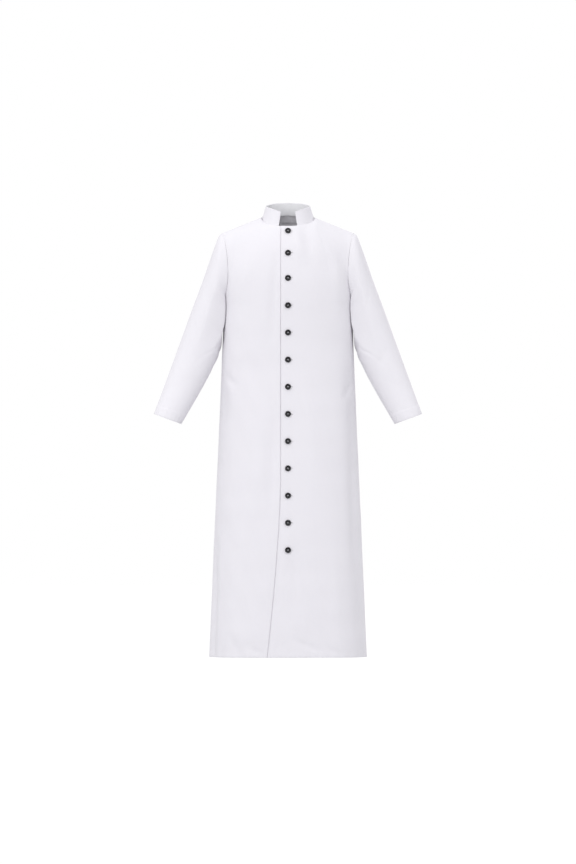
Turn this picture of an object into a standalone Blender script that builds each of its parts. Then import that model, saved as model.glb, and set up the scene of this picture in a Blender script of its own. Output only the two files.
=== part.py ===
# A long stand-collar cassock with set-in sleeves and a single row of buttons, in the hollow form that it
# has when it is worn. Metres, +Z up. The front looks along -Y and the wearer's left is +X.
# The origin is the middle of the neck, level with the side of the neckline.

import bisect
import math

import bmesh
import bpy
from mathutils import Vector

# Cloth and the gaps between pieces
CLOTH = 0.0016            # wall of the body and the sleeves
COLLAR_CLOTH = 0.0022     # two layers of cloth over a stiffening
SEAM_GAP = 0.0004         # between two panels at a seam
SLEEVE_GAP = 0.0006       # between a sleeve and its armhole
COLLAR_GAP = 0.0012       # between the neckline and the collar's lower edge
LAP_GAP = 0.0006          # between the two fronts where they lap
SLEEVE_CLEARANCE = 0.0032  # between a sleeve and the side of the body that it hangs against
SLEEVE_LIFT_OFF = 0.006    # of sleeve, from the armhole, in which that clearance opens

# Heights
HEM_Z = -1.470
UNDERARM_Z = -0.295
SHOULDER_Z = -0.053
SIDE_NECK_Z = 0.0
FRONT_NECK_Z = -0.031
BACK_NECK_Z = 0.008
FRONT_NECK_DIP = 0.8          # how fast the neckline drops towards the front

# Neckline and collar, as half widths and depths from the middle of the neck
NECK_HALF_WIDTH = 0.088
NECK_FRONT = 0.082
NECK_BACK = 0.074
COLLAR_TOP_HALF_WIDTH = 0.0745
COLLAR_TOP_FRONT = 0.068
COLLAR_TOP_BACK = 0.064
COLLAR_GAP_BOTTOM = 0.031     # from the middle of the front to a collar end, at the neckline
COLLAR_GAP_TOP = 0.024
COLLAR_NARROWING = 0.72       # under 1, the collar leans in most near its base
COLLAR_FIRST_COLUMN = 3.0     # degrees from a collar end to its next column

# The collar's top edge, by degrees round the neck from the middle of the front
COLLAR_TOP_EDGE = (
    dict(turn=15, z=0.0165),
    dict(turn=45, z=0.0280),
    dict(turn=75, z=0.0350),
    dict(turn=105, z=0.0400),
    dict(turn=140, z=0.0470),
    dict(turn=180, z=0.0500),
)

# Shoulder and armhole
SHOULDER_HALF_WIDTH = 0.219
UNDERARM_HALF_WIDTH = 0.214
ARMHOLE_SCOOP = 0.0155        # how far the armhole cuts in towards the neck, halfway up
ARMHOLE_FRONT = 0.066
ARMHOLE_BACK = 0.064
SCOOP_BELOW = 2.2             # how late the scoop starts under the arm
SCOOP_ABOVE = 1.5             # and over it
ARMHOLE_PULL = 3.5            # how closely the cloth near the armhole keeps to its line
SHOULDER_FULLNESS = 2.2       # 2 is an ellipse over the shoulder, more is squarer
NECK_LEAN = 62.0              # degrees of that ellipse that the cloth runs through at the neckline

# Where the cloth under the arm faces straight out from the body: by place across the panel and by height
UNDER_ARM_FROM = 0.6
UNDER_ARM_WIDTH = 0.35
UNDER_ARM_FADE_FROM = 1.15
UNDER_ARM_FADE = 0.4

# Sleeve: the turns over which its inner side comes to lie along the body, the sections over which it keeps
# the armhole's shape, and the turns over which its end matches the cloth of the shoulder
HUG_FROM = 80.0
HUG_TURNS = 45.0
HELD_SECTIONS = 1.6
SHOULDER_MATCH_UNTIL = 120.0
SHOULDER_MATCH_TURNS = 60.0
CREASE_DIRECTION = (0.9, 1.0, 0.3)    # shares of a crease's depth across, forward and up
RING_SPACING = 1.25           # over 1, the rings lie closer near the armhole

# Where the inner side of a sleeve lies along the body, as shares from 0 to 1
SLEEVE_HUG = (
    dict(z=-0.225, share=0.0),
    dict(z=-0.270, share=0.9),
    dict(z=-0.340, share=1.0),
    dict(z=-0.385, share=0.75),
    dict(z=-0.425, share=0.35),
    dict(z=-0.465, share=0.0),
)

# Front opening: buttons on the middle, the edges past it, and the flare of the edges below the knee
LAP = 0.023
LAP_AT_HEM = 0.068
LAP_FLARE_Z = -0.880
LAP_FLARE_BEND = 1.5
BUTTON_RADIUS = 0.0100
HOLE_RADIUS = 0.00095
HOLE_OFFSET = 0.0019          # from the middle of the button to the middle of a hole
HOLE_SIDES = 6
DRILL_LENGTH = 0.02
FIRST_BUTTON_Z = -0.048
BUTTON_STEPS = (0.073, 0.0835) + (0.0907,) * 10
BUTTON_SEAT = 0.0006

# A button's profile: distance from its axis as a share of its radius, and height over its seat
BUTTON_PROFILE = (
    (0.00, 0.0022),
    (0.56, 0.0024),
    (0.74, 0.0036),
    (0.90, 0.0035),
    (1.00, 0.0018),
    (0.82, 0.0000),
    (0.00, 0.0000),
)

# Body sections from the hem up: half width and depth to the front and the back
BODY_SECTIONS = (
    dict(z=-1.470, half_width=0.2640, front=0.184, back=0.198),
    dict(z=-1.256, half_width=0.2545, front=0.173, back=0.186),
    dict(z=-0.935, half_width=0.2405, front=0.156, back=0.163),
    dict(z=-0.700, half_width=0.2300, front=0.142, back=0.146),
    dict(z=-0.471, half_width=0.2205, front=0.130, back=0.124),
    dict(z=UNDERARM_Z, half_width=UNDERARM_HALF_WIDTH, front=0.131, back=0.121),
)
BODY_SQUARENESS = 2.45        # 2 is an ellipse, more is flatter in front and behind

# Soft folds of the skirt. bearing is in degrees round the body from the middle of the front to the wearer's
# left, lean is what it gains from the top of the fold to the hem, depth is at the hem and inward if negative.
SKIRT_FOLDS = (
    dict(bearing=-12, lean=2, width=13, depth=-0.0030, top=-0.620),
    dict(bearing=-40, lean=-4, width=16, depth=0.0045, top=-0.560),
    dict(bearing=-69, lean=-3, width=11, depth=-0.0085, top=-0.900),
    dict(bearing=13, lean=3, width=11, depth=-0.0040, top=-1.080),
    dict(bearing=38, lean=4, width=16, depth=0.0050, top=-0.620),
    dict(bearing=70, lean=1, width=12, depth=-0.0090, top=-0.480),
    dict(bearing=112, lean=3, width=14, depth=0.0090, top=-0.640),
    dict(bearing=134, lean=4, width=11, depth=-0.0100, top=-0.600),
    dict(bearing=154, lean=2, width=12, depth=0.0120, top=-0.520),
    dict(bearing=177, lean=1, width=11, depth=-0.0110, top=-0.560),
    dict(bearing=201, lean=-2, width=12, depth=0.0125, top=-0.500),
    dict(bearing=224, lean=-4, width=11, depth=-0.0105, top=-0.660),
    dict(bearing=246, lean=-3, width=14, depth=0.0095, top=-0.600),
)

FOLD_OPENS = 1.15             # over 1, a fold reaches its full depth before the hem
FOLD_SHARPNESS = 2.0

# Sleeve sections from the armhole to the cuff, as seen from the front: the outer line over the arm, the inner
# line under it, the half depth, and how far the middle of the arm swings forward.
SLEEVE_SECTIONS = (
    dict(outer_x=0.2190, outer_z=-0.053, inner_x=0.2140, inner_z=-0.295, half_depth=0.0650, forward=0.001),
    dict(outer_x=0.2310, outer_z=-0.066, inner_x=0.2160, inner_z=-0.306, half_depth=0.0680, forward=0.001),
    dict(outer_x=0.2520, outer_z=-0.122, inner_x=0.2180, inner_z=-0.330, half_depth=0.0690, forward=0.004),
    dict(outer_x=0.2840, outer_z=-0.214, inner_x=0.2190, inner_z=-0.364, half_depth=0.0670, forward=0.008),
    dict(outer_x=0.3150, outer_z=-0.297, inner_x=0.2200, inner_z=-0.401, half_depth=0.0640, forward=0.012),
    dict(outer_x=0.3490, outer_z=-0.391, inner_x=0.2270, inner_z=-0.447, half_depth=0.0600, forward=0.017),
    dict(outer_x=0.3780, outer_z=-0.471, inner_x=0.2490, inner_z=-0.500, half_depth=0.0560, forward=0.024),
    dict(outer_x=0.4130, outer_z=-0.567, inner_x=0.3010, inner_z=-0.596, half_depth=0.0490, forward=0.040),
    dict(outer_x=0.4460, outer_z=-0.658, inner_x=0.3570, inner_z=-0.691, half_depth=0.0430, forward=0.060),
)

# Creases across the sleeve: along is 0 at the armhole and 1 at the cuff, bearing is 90 at the front of the
# arm and 180 under it, and tilt is how far along the crease climbs as it goes round.
SLEEVE_CREASES = (
    dict(along=0.47, bearing=150, width=34, length=0.035, tilt=-0.05, depth=-0.0030),
    dict(along=0.62, bearing=165, width=40, length=0.030, tilt=0.04, depth=-0.0040),
    dict(along=0.70, bearing=215, width=42, length=0.032, tilt=-0.05, depth=-0.0035),
    dict(along=0.55, bearing=225, width=36, length=0.034, tilt=0.06, depth=-0.0030),
)

# How finely each piece is divided
SKIRT_ROWS = 13
YOKE_ROWS = 12            # from the underarm to the shoulder, and half the divisions of the armhole
LAP_COLUMNS = 2           # from the middle of the front to the edge of the lap
SIDE_COLUMNS = 12         # from the edge of the lap to the side seam
NECK_COLUMNS = 6          # of those, the ones that end on the neckline
SLEEVE_ROWS = 15
COLLAR_ROWS = 4
BUTTON_SIDES = 16
PLACE_STEP = 0.01             # steps by which the slope of a surface is read
LENGTH_STEP = 0.004
SLEEVE_TURN_STEP = 3.0
RING_STEPS = 48               # points read on a quarter of a body section
HALVINGS = 40                 # steps in finding a button's place
LAP_SHARE = LAP_COLUMNS / (LAP_COLUMNS + SIDE_COLUMNS)
NECK_SHARE = (LAP_COLUMNS + NECK_COLUMNS) / (LAP_COLUMNS + SIDE_COLUMNS)
WALL_CREASE = 50              # degrees between faces from which an edge stays sharp
BUTTON_CREASE = 35

CLOTH_WHITE = (0.86, 0.86, 0.88, 1.0)
BUTTON_BLACK = (0.012, 0.012, 0.013, 1.0)


def smooth(value):
    """0 up to 0 and 1 from 1, with a soft start and end."""
    t = min(1.0, max(0.0, value))
    return t * t * (3.0 - 2.0 * t)


def between(sections, key, column, at):
    """The column's value where key is at, on a smooth curve through the sections."""
    rising = sections[0][key] < sections[-1][key]
    rows = sections if rising else tuple(reversed(sections))
    xs = [row[key] for row in rows]
    ys = [row[column] for row in rows]
    at = min(xs[-1], max(xs[0], at))
    i = min(len(xs) - 2, max(0, bisect.bisect_right(xs, at) - 1))
    slopes = []
    for k in (i, i + 1):
        low = max(0, k - 1)
        high = min(len(xs) - 1, k + 1)
        slopes.append((ys[high] - ys[low]) / (xs[high] - xs[low]))
    step = xs[i + 1] - xs[i]
    t = (at - xs[i]) / step
    return (
        ys[i] * (1 + 2 * t) * (1 - t) ** 2
        + slopes[0] * step * t * (1 - t) ** 2
        + ys[i + 1] * t * t * (3 - 2 * t)
        + slopes[1] * step * t * t * (t - 1)
    )


def quarter_ring(half_width, depth):
    """Points (across, out) from the middle of a panel to the side seam, and the cloth's length up to each."""
    points = []
    lengths = [0.0]
    n = BODY_SQUARENESS
    for k in range(RING_STEPS + 1):
        turn = math.radians(90.0 * k / RING_STEPS)
        across = math.sin(turn)
        out = math.cos(turn)
        reach = ((across / half_width) ** n + (out / depth) ** n) ** (-1.0 / n)
        points.append((reach * across, reach * out))
        if k:
            lengths.append(lengths[-1] + math.dist(points[-1], points[-2]))
    return points, lengths


def on_quarter_ring(half_width, depth, share, lap):
    """The point at a column's share of the quarter, where the lap's columns keep their own width of cloth."""
    points, lengths = quarter_ring(half_width, depth)
    length = column_distance(share, lap, lengths[-1])
    i = min(len(lengths) - 2, max(0, bisect.bisect_right(lengths, length) - 1))
    t = (length - lengths[i]) / (lengths[i + 1] - lengths[i])
    return (
        points[i][0] + (points[i + 1][0] - points[i][0]) * t,
        points[i][1] + (points[i + 1][1] - points[i][1]) * t,
    )


def column_distance(share, lap, total):
    """Cloth from the middle of the panel to a column: even over the lap, and even over the rest."""
    if share <= LAP_SHARE:
        return lap * share / LAP_SHARE
    return lap + (total - lap) * (share - LAP_SHARE) / (1.0 - LAP_SHARE)


def lap_at(z):
    """Half the width of the front lap at a height."""
    below = max(0.0, LAP_FLARE_Z - z) / (LAP_FLARE_Z - HEM_Z)
    return LAP + (LAP_AT_HEM - LAP) * below ** LAP_FLARE_BEND


def neck_point(turn, facing):
    """The neckline. turn is 0 in the middle of the front or back and 90 at the side of the neck."""
    across = math.sin(math.radians(turn))
    out = math.cos(math.radians(turn))
    if facing < 0:
        return Vector((
            NECK_HALF_WIDTH * across,
            -NECK_FRONT * out,
            SIDE_NECK_Z + (FRONT_NECK_Z - SIDE_NECK_Z) * max(0.0, out) ** FRONT_NECK_DIP,
        ))
    return Vector((
        NECK_HALF_WIDTH * across,
        NECK_BACK * out,
        SIDE_NECK_Z + (BACK_NECK_Z - SIDE_NECK_Z) * (1.0 - across),
    ))


def top_edge(share, facing):
    """The top of a panel: the neckline up to the side of the neck, then the shoulder seam."""
    if share <= NECK_SHARE:
        turns = neck_turns()
        at = share * (LAP_COLUMNS + SIDE_COLUMNS)
        i = min(len(turns) - 2, int(at))
        return neck_point(turns[i] + (turns[i + 1] - turns[i]) * (at - i), facing)
    t = (share - NECK_SHARE) / (1.0 - NECK_SHARE)
    return Vector((
        NECK_HALF_WIDTH + (SHOULDER_HALF_WIDTH - NECK_HALF_WIDTH) * t,
        0.0,
        SIDE_NECK_Z + (SHOULDER_Z - SIDE_NECK_Z) * t,
    ))


def armhole_point(turn, facing):
    """The armhole of the wearer's left side. turn is 0 at the underarm and 180 at the shoulder point."""
    rise = 0.5 * (1.0 - math.cos(math.radians(turn)))
    bulge = math.sin(math.radians(turn))
    scoop = bulge ** (SCOOP_BELOW if turn < 90.0 else SCOOP_ABOVE)
    depth = ARMHOLE_FRONT if facing < 0 else ARMHOLE_BACK
    return Vector((
        UNDERARM_HALF_WIDTH + (SHOULDER_HALF_WIDTH - UNDERARM_HALF_WIDTH) * rise
        - ARMHOLE_SCOOP * scoop,
        facing * depth * bulge,
        UNDERARM_Z + (SHOULDER_Z - UNDERARM_Z) * rise,
    ))


def skirt_point(share, z, facing):
    """Body surface below the underarm, before its folds, on the wearer's left side."""
    column = "front" if facing < 0 else "back"
    half_width = between(BODY_SECTIONS, "z", "half_width", z)
    depth = between(BODY_SECTIONS, "z", column, z)
    across, out = on_quarter_ring(half_width, depth, share, lap_at(z))
    return Vector((across, facing * out, z))


def yoke_point(share, climb, facing):
    """Body surface over the chest or back. climb is 0 at the underarm and 1 at the top edge."""
    base = skirt_point(share, UNDERARM_Z, facing)
    top = top_edge(share, facing)
    lean = NECK_LEAN + (90.0 - NECK_LEAN) * smooth(share / NECK_SHARE)

    def over(low, high, at):
        turn = math.radians(lean * at)
        most = math.radians(lean)
        power = 2.0 / SHOULDER_FULLNESS
        up = (math.sin(turn) / math.sin(most)) ** power if at > 0 else 0.0
        back = (1.0 - math.cos(turn) ** power) / (1.0 - max(0.0, math.cos(most)) ** power)
        return Vector((
            low.x + (high.x - low.x) * smooth(at),
            low.y + (high.y - low.y) * back,
            low.z + (high.z - low.z) * up,
        ))

    point = over(base, top, climb)
    if share > 0.0:
        plain = over(skirt_point(1.0, UNDERARM_Z, facing), top_edge(1.0, facing), climb)
        point += (armhole_point(180.0 * climb, facing) - plain) * share ** ARMHOLE_PULL
    return point


def fold_depth(bearing, z):
    """How far the folds move the skirt outward at a bearing round the body."""
    total = 0.0
    for fold in SKIRT_FOLDS:
        down = (fold["top"] - z) / (fold["top"] - HEM_Z)
        if down <= 0.0:
            continue
        middle = fold["bearing"] + fold["lean"] * down
        away = (bearing - middle + 180.0) % 360.0 - 180.0
        swell = math.exp(-((away / fold["width"]) ** 2) * FOLD_SHARPNESS)
        total += fold["depth"] * smooth(down * FOLD_OPENS) * swell
    return total


def plain_body_point(side, facing, share, height):
    """Body surface without folds. height is 0 at the hem, 1 at the underarm and 2 at the top edge."""
    if height <= 1.0:
        point = skirt_point(share, HEM_Z + (UNDERARM_Z - HEM_Z) * height, facing)
    else:
        point = yoke_point(share, height - 1.0, facing)
    return Vector((side * point.x, point.y, point.z))


def normal_of(surface, u, v):
    """The unit normal of surface(u, v), by small steps each way."""
    du = surface(u + PLACE_STEP, v) - surface(u - PLACE_STEP, v)
    dv = surface(u, min(2.0, v + LENGTH_STEP)) - surface(u, max(0.0, v - LENGTH_STEP))
    return du.cross(dv).normalized()


def body_surface(facing):
    """The outer surface of the front or the back as a function of place and height, with its folds."""
    def plain(place, height):
        side = 1 if place >= 0 else -1
        share = abs(place)
        over = max(0.0, share - 1.0)
        point = plain_body_point(side, facing, min(1.0, share), height)
        if over:
            inner = plain_body_point(side, facing, 1.0 - over, height)
            point = Vector((2 * point.x - inner.x, point.y - (inner.y - point.y), 2 * point.z - inner.z))
        return point

    def folded(place, height):
        point = plain(place, height)
        if height < 1.0:
            bearing = 90.0 * place if facing < 0 else 180.0 - 90.0 * place
            z = HEM_Z + (UNDERARM_Z - HEM_Z) * height
            outward = -facing * normal_of(plain, place, height)
            point += Vector((outward.x, outward.y, 0.0)) * fold_depth(bearing, z)
        return point

    return folded


def panel_normal(surface, facing, place, height):
    """The outward normal of a panel, and whether it is on a seam, where both panels share it."""
    normal = -facing * normal_of(surface, place, height)
    if height > 1.001:
        under_arm = smooth((abs(place) - UNDER_ARM_FROM) / UNDER_ARM_WIDTH)
        under_arm *= 1.0 - smooth((height - UNDER_ARM_FADE_FROM) / UNDER_ARM_FADE)
        normal = normal.lerp(body_reach(surface(place, height))[1], under_arm).normalized()
    on_side_seam = abs(place) > 0.999 and height < 1.001
    on_shoulder_seam = abs(place) > NECK_SHARE - 0.001 and height > 1.999
    if on_side_seam or on_shoulder_seam:
        normal.y = 0.0
        normal.normalize()
    return normal, on_side_seam or on_shoulder_seam


def wall_mesh(name, outer, inner, closed):
    """A closed wall between two grids of points. closed joins the last column to the first."""
    rows = len(outer)
    columns = len(outer[0])
    mesh = bmesh.new()
    layers = [[[mesh.verts.new(p) for p in row] for row in grid] for grid in (outer, inner)]
    a, b = layers
    wrap = columns if closed else columns - 1
    for i in range(rows - 1):
        for j in range(wrap):
            k = (j + 1) % columns
            mesh.faces.new((a[i][j], a[i][k], a[i + 1][k], a[i + 1][j]))
            mesh.faces.new((b[i][j], b[i + 1][j], b[i + 1][k], b[i][k]))
    for i in (0, rows - 1):
        for j in range(wrap):
            k = (j + 1) % columns
            mesh.faces.new((a[i][j], a[i][k], b[i][k], b[i][j]))
    if not closed:
        for j in (0, columns - 1):
            for i in range(rows - 1):
                mesh.faces.new((a[i][j], a[i + 1][j], b[i + 1][j], b[i][j]))
    bmesh.ops.recalc_face_normals(mesh, faces=mesh.faces)
    data = bpy.data.meshes.new(name)
    mesh.to_mesh(data)
    mesh.free()
    data.shade_smooth()
    data.set_sharp_from_angle(angle=math.radians(WALL_CREASE))
    return data


def add_object(name, data, material):
    data.materials.append(material)
    thing = bpy.data.objects.new(name, data)
    PARTS.objects.link(thing)
    return thing


def body_rows():
    """Heights of a panel's rows, from the hem to the top edge."""
    skirt = [k / SKIRT_ROWS for k in range(SKIRT_ROWS)]
    return skirt + [1.0 + k / YOKE_ROWS for k in range(YOKE_ROWS + 1)]


def panel_places(low_columns, high_columns):
    """Places of a panel's columns, counted from the middle of the body to each side."""
    total = LAP_COLUMNS + SIDE_COLUMNS
    return [k / total for k in range(-low_columns, high_columns + 1)]


def add_panel(name, facing, places, lift_of, material):
    """One cloth panel of the body. lift_of gives how far a place lies over the body's own surface."""
    surface = body_surface(facing)
    outer = []
    inner = []
    for height in body_rows():
        outer_row = []
        inner_row = []
        for place in places:
            normal, on_seam = panel_normal(surface, facing, place, height)
            lifted = surface(place, height) + normal * lift_of(place)
            if on_seam:
                lifted.y += facing * SEAM_GAP / 2
            outer_row.append(lifted)
            inner_row.append(lifted - normal * CLOTH)
        outer.append(outer_row)
        inner.append(inner_row)
    return add_object(name, wall_mesh(name, outer, inner, closed=False), material)


def over_lap(place):
    """The upper front rises over the lower one at the lap and comes down to the body beyond it."""
    beyond = (place - LAP_SHARE) / (NECK_SHARE - LAP_SHARE)
    return (CLOTH + LAP_GAP) * (1.0 - smooth(beyond))


def add_body(material):
    total = LAP_COLUMNS + SIDE_COLUMNS
    add_panel("front_left", -1, panel_places(LAP_COLUMNS, total), over_lap, material)
    add_panel("front_right", -1, panel_places(total, LAP_COLUMNS), lambda place: 0.0, material)
    add_panel("back", 1, panel_places(total, total), lambda place: 0.0, material)


def body_reach(point):
    """How far a point is outside the body below the underarm, and the direction outward."""
    column = "front" if point.y < 0 else "back"
    z = min(point.z, UNDERARM_Z)
    half_width = between(BODY_SECTIONS, "z", "half_width", z)
    depth = between(BODY_SECTIONS, "z", column, z)
    n = BODY_SQUARENESS
    x = point.x / half_width
    y = abs(point.y) / depth
    level = (abs(x) ** n + y ** n) ** (1.0 / n)
    slope = Vector((
        math.copysign(abs(x) ** (n - 1) / half_width, point.x),
        math.copysign(y ** (n - 1) / depth, point.y),
        0.0,
    ))
    steepness = slope.length * level ** (1.0 - n)
    return (level - 1.0) / steepness, slope.normalized()


def sleeve_surface(turn, along):
    """The outer surface of the left sleeve. turn is 0 over the arm, 90 in front and 180 under it."""
    last = len(SLEEVE_SECTIONS) - 1
    rows = tuple(dict(row, at=k / last) for k, row in enumerate(SLEEVE_SECTIONS))

    def value(column):
        return between(rows, "at", column, along)

    over = Vector((value("outer_x"), -value("forward"), value("outer_z")))
    under = Vector((value("inner_x"), -value("forward"), value("inner_z")))
    angle = math.radians(turn)
    point = (over + under) / 2 + (over - under) / 2 * math.cos(angle)
    point.y -= value("half_depth") * math.sin(angle)
    seam = armhole_point(180.0 - turn, -1) if turn <= 180 else armhole_point(turn - 180.0, 1)
    held = 1.0 - smooth(along * last / HELD_SECTIONS)
    start = Vector((rows[0]["outer_x"], -rows[0]["forward"], rows[0]["outer_z"]))
    end = Vector((rows[0]["inner_x"], -rows[0]["forward"], rows[0]["inner_z"]))
    first = (start + end) / 2 + (start - end) / 2 * math.cos(angle)
    first.y -= rows[0]["half_depth"] * math.sin(angle)
    point += (seam - first) * held
    over_share, forward_share, up_share = CREASE_DIRECTION
    for crease in SLEEVE_CREASES:
        away = (turn - crease["bearing"]) / crease["width"]
        level = (along - crease["along"] - crease["tilt"] * away) / crease["length"]
        outward = Vector((
            over_share * math.cos(angle),
            -forward_share * math.sin(angle),
            up_share * math.cos(angle),
        ))
        point += outward * crease["depth"] * math.exp(-away * away - level * level)
    reach, outward = body_reach(point)
    seam_reach = body_reach(seam)[0]
    wanted = seam_reach + (SLEEVE_CLEARANCE - seam_reach) * min(1.0, (point - seam).length / SLEEVE_LIFT_OFF)
    if outward.x > 0:
        inner_side = smooth((min(turn, 360.0 - turn) - HUG_FROM) / HUG_TURNS)
        hug = inner_side * between(SLEEVE_HUG, "z", "share", point.z)
        point += outward * (wanted - reach) * (1.0 if reach < wanted else hug)
    return point


def sleeve_rows():
    """Where the sleeve's rings lie, closer together near the armhole."""
    return [(k / SLEEVE_ROWS) ** RING_SPACING for k in range(SLEEVE_ROWS + 1)]


def armhole_normal(turn):
    """The body's normal at the sleeve's seam, so that the two walls end face to face over the shoulder."""
    facing = -1 if turn <= 180.0 else 1
    return panel_normal(body_surface(facing), facing, 1.0, 1.0 + abs(180.0 - turn) / 180.0)[0]


def add_sleeve(name, side, material):
    turns = [180.0 * k / YOKE_ROWS for k in range(2 * YOKE_ROWS)]
    outer = []
    inner = []
    for along in sleeve_rows():
        outer_row = []
        inner_row = []
        for turn in turns:
            point = sleeve_surface(turn, along)
            before = sleeve_surface((turn - SLEEVE_TURN_STEP) % 360.0, along)
            round_arm = sleeve_surface(turn + SLEEVE_TURN_STEP, along) - before
            above = sleeve_surface(turn, max(0.0, along - LENGTH_STEP))
            down_arm = sleeve_surface(turn, min(1.0, along + LENGTH_STEP)) - above
            normal = round_arm.cross(down_arm).normalized()
            if along == 0.0:
                from_top = min(turn, 360.0 - turn)
                share = smooth((SHOULDER_MATCH_UNTIL - from_top) / SHOULDER_MATCH_TURNS)
                normal = normal.lerp(armhole_normal(turn), share).normalized()
            point.x += SLEEVE_GAP
            outer_row.append(Vector((side * point.x, point.y, point.z)))
            within = point - normal * CLOTH
            inner_row.append(Vector((side * within.x, within.y, within.z)))
        outer.append(outer_row)
        inner.append(inner_row)
    return add_object(name, wall_mesh(name, outer, inner, closed=True), material)


def neck_turns():
    """The neckline's columns, in degrees from the middle to the side of the neck."""
    first = math.degrees(math.asin(LAP / NECK_HALF_WIDTH))
    lap = [first * k / LAP_COLUMNS for k in range(LAP_COLUMNS)]
    return lap + [first + (90.0 - first) * k / NECK_COLUMNS for k in range(NECK_COLUMNS + 1)]


def collar_turns():
    """The collar's columns, from the wearer's left end round the back to the right one. None is an end."""
    end = math.degrees(math.asin(COLLAR_GAP_BOTTOM / NECK_HALF_WIDTH))
    front = [turn for turn in neck_turns() if turn > end + COLLAR_FIRST_COLUMN]
    back = [180.0 - turn for turn in reversed(neck_turns()[1:-1])]
    left = front + back
    return [None] + left + [180.0] + [360.0 - turn for turn in reversed(left)] + [None]


def collar_point(column, rise, inset):
    """A point on the collar, where rise goes from 0 at the neckline to 1 at the top."""
    turns = collar_turns()
    gap = COLLAR_GAP_BOTTOM + (COLLAR_GAP_TOP - COLLAR_GAP_BOTTOM) * rise
    narrow = rise ** COLLAR_NARROWING
    half_width = NECK_HALF_WIDTH + (COLLAR_TOP_HALF_WIDTH - NECK_HALF_WIDTH) * narrow
    end = math.degrees(math.asin(gap / half_width))
    turn = turns[column]
    if turn is None:
        turn = end if column == 0 else 360.0 - end
    across = math.sin(math.radians(turn))
    out = math.cos(math.radians(turn))
    facing = -1 if out > 1e-9 else 1
    base = neck_point(math.degrees(math.asin(min(1.0, abs(across)))), facing)
    if facing < 0:
        depth = NECK_FRONT + (COLLAR_TOP_FRONT - NECK_FRONT) * narrow
    else:
        depth = NECK_BACK + (COLLAR_TOP_BACK - NECK_BACK) * narrow
    top_z = between(COLLAR_TOP_EDGE, "turn", "z", min(turn, 360.0 - turn))
    bottom_z = base.z + COLLAR_GAP
    return Vector((
        (half_width - inset) * across,
        -(depth - inset) * out,
        bottom_z + (top_z - bottom_z) * rise,
    ))


def add_collar(material):
    rises = [k / COLLAR_ROWS for k in range(COLLAR_ROWS + 1)]
    columns = range(len(collar_turns()))
    outer = [[collar_point(column, rise, 0.0) for column in columns] for rise in rises]
    inner = [[collar_point(column, rise, COLLAR_CLOTH) for column in columns] for rise in rises]
    return add_object("collar", wall_mesh("collar", outer, inner, closed=False), material)


def button_mesh():
    """A four-hole button lying on its back, turned from its profile and drilled."""
    curve = bmesh.new()
    points = [curve.verts.new((share * BUTTON_RADIUS, 0.0, z)) for share, z in BUTTON_PROFILE]
    for a, b in zip(points, points[1:]):
        curve.edges.new((a, b))
    data = bpy.data.meshes.new("button_profile")
    curve.to_mesh(data)
    curve.free()
    turned = bpy.data.objects.new("button_turned", data)
    CUTTERS.objects.link(turned)
    screw = turned.modifiers.new("turn", "SCREW")
    screw.steps = screw.render_steps = BUTTON_SIDES
    screw.use_merge_vertices = True
    screw.merge_threshold = 0.00005
    for k in range(4):
        turn = math.radians(45 + 90 * k)
        drill = bmesh.new()
        bmesh.ops.create_cone(
            drill, cap_ends=True, segments=HOLE_SIDES, depth=DRILL_LENGTH,
            radius1=HOLE_RADIUS, radius2=HOLE_RADIUS,
        )
        bmesh.ops.translate(
            drill, verts=drill.verts, vec=(HOLE_OFFSET * math.cos(turn), HOLE_OFFSET * math.sin(turn), 0.0)
        )
        cut = bpy.data.meshes.new("button_drill")
        drill.to_mesh(cut)
        drill.free()
        cutter = bpy.data.objects.new(f"button_drill_{k + 1}", cut)
        cutter.hide_render = True
        cutter.display_type = "WIRE"
        CUTTERS.objects.link(cutter)
        hole = turned.modifiers.new(f"hole_{k + 1}", "BOOLEAN")
        hole.operation = "DIFFERENCE"
        hole.object = cutter
    bpy.context.view_layer.update()
    made = bpy.data.meshes.new_from_object(turned.evaluated_get(bpy.context.evaluated_depsgraph_get()))
    made.name = "button"
    bpy.data.objects.remove(turned)
    made.shade_smooth()
    made.set_sharp_from_angle(angle=math.radians(BUTTON_CREASE))
    return made


def button_heights():
    heights = [FIRST_BUTTON_Z]
    for step in BUTTON_STEPS:
        heights.append(heights[-1] - step)
    return heights


def front_height_of(z):
    """The height parameter at which the middle of the front reaches z."""
    if z <= UNDERARM_Z:
        return (z - HEM_Z) / (UNDERARM_Z - HEM_Z)
    low = 1.0
    high = 2.0
    for _ in range(HALVINGS):
        middle = (low + high) / 2
        if plain_body_point(1, -1, 0.0, middle).z < z:
            low = middle
        else:
            high = middle
    return low


def add_buttons(material):
    surface = body_surface(-1)
    data = button_mesh()
    data.materials.clear()
    data.materials.append(material)
    for k, z in enumerate(button_heights()):
        height = front_height_of(z)
        normal = normal_of(surface, 0.0, height)
        seat = surface(0.0, height) + normal * (CLOTH + LAP_GAP + BUTTON_SEAT)
        button = bpy.data.objects.new(f"button_{k + 1:02d}", data)
        PARTS.objects.link(button)
        button.rotation_mode = "QUATERNION"
        button.rotation_quaternion = normal.to_track_quat("Z", "X")
        button.location = seat


def make_material(name, colour, roughness):
    material = bpy.data.materials.new(name)
    material.use_nodes = True
    shader = material.node_tree.nodes["Principled BSDF"]
    shader.inputs["Base Color"].default_value = colour
    shader.inputs["Roughness"].default_value = roughness
    shader.inputs["Metallic"].default_value = 0.0
    return material


for old in list(bpy.data.objects):
    bpy.data.objects.remove(old)
PARTS = bpy.data.collections.new("cassock")
CUTTERS = bpy.data.collections.new("cutters")
bpy.context.scene.collection.children.link(PARTS)
bpy.context.scene.collection.children.link(CUTTERS)

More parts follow.
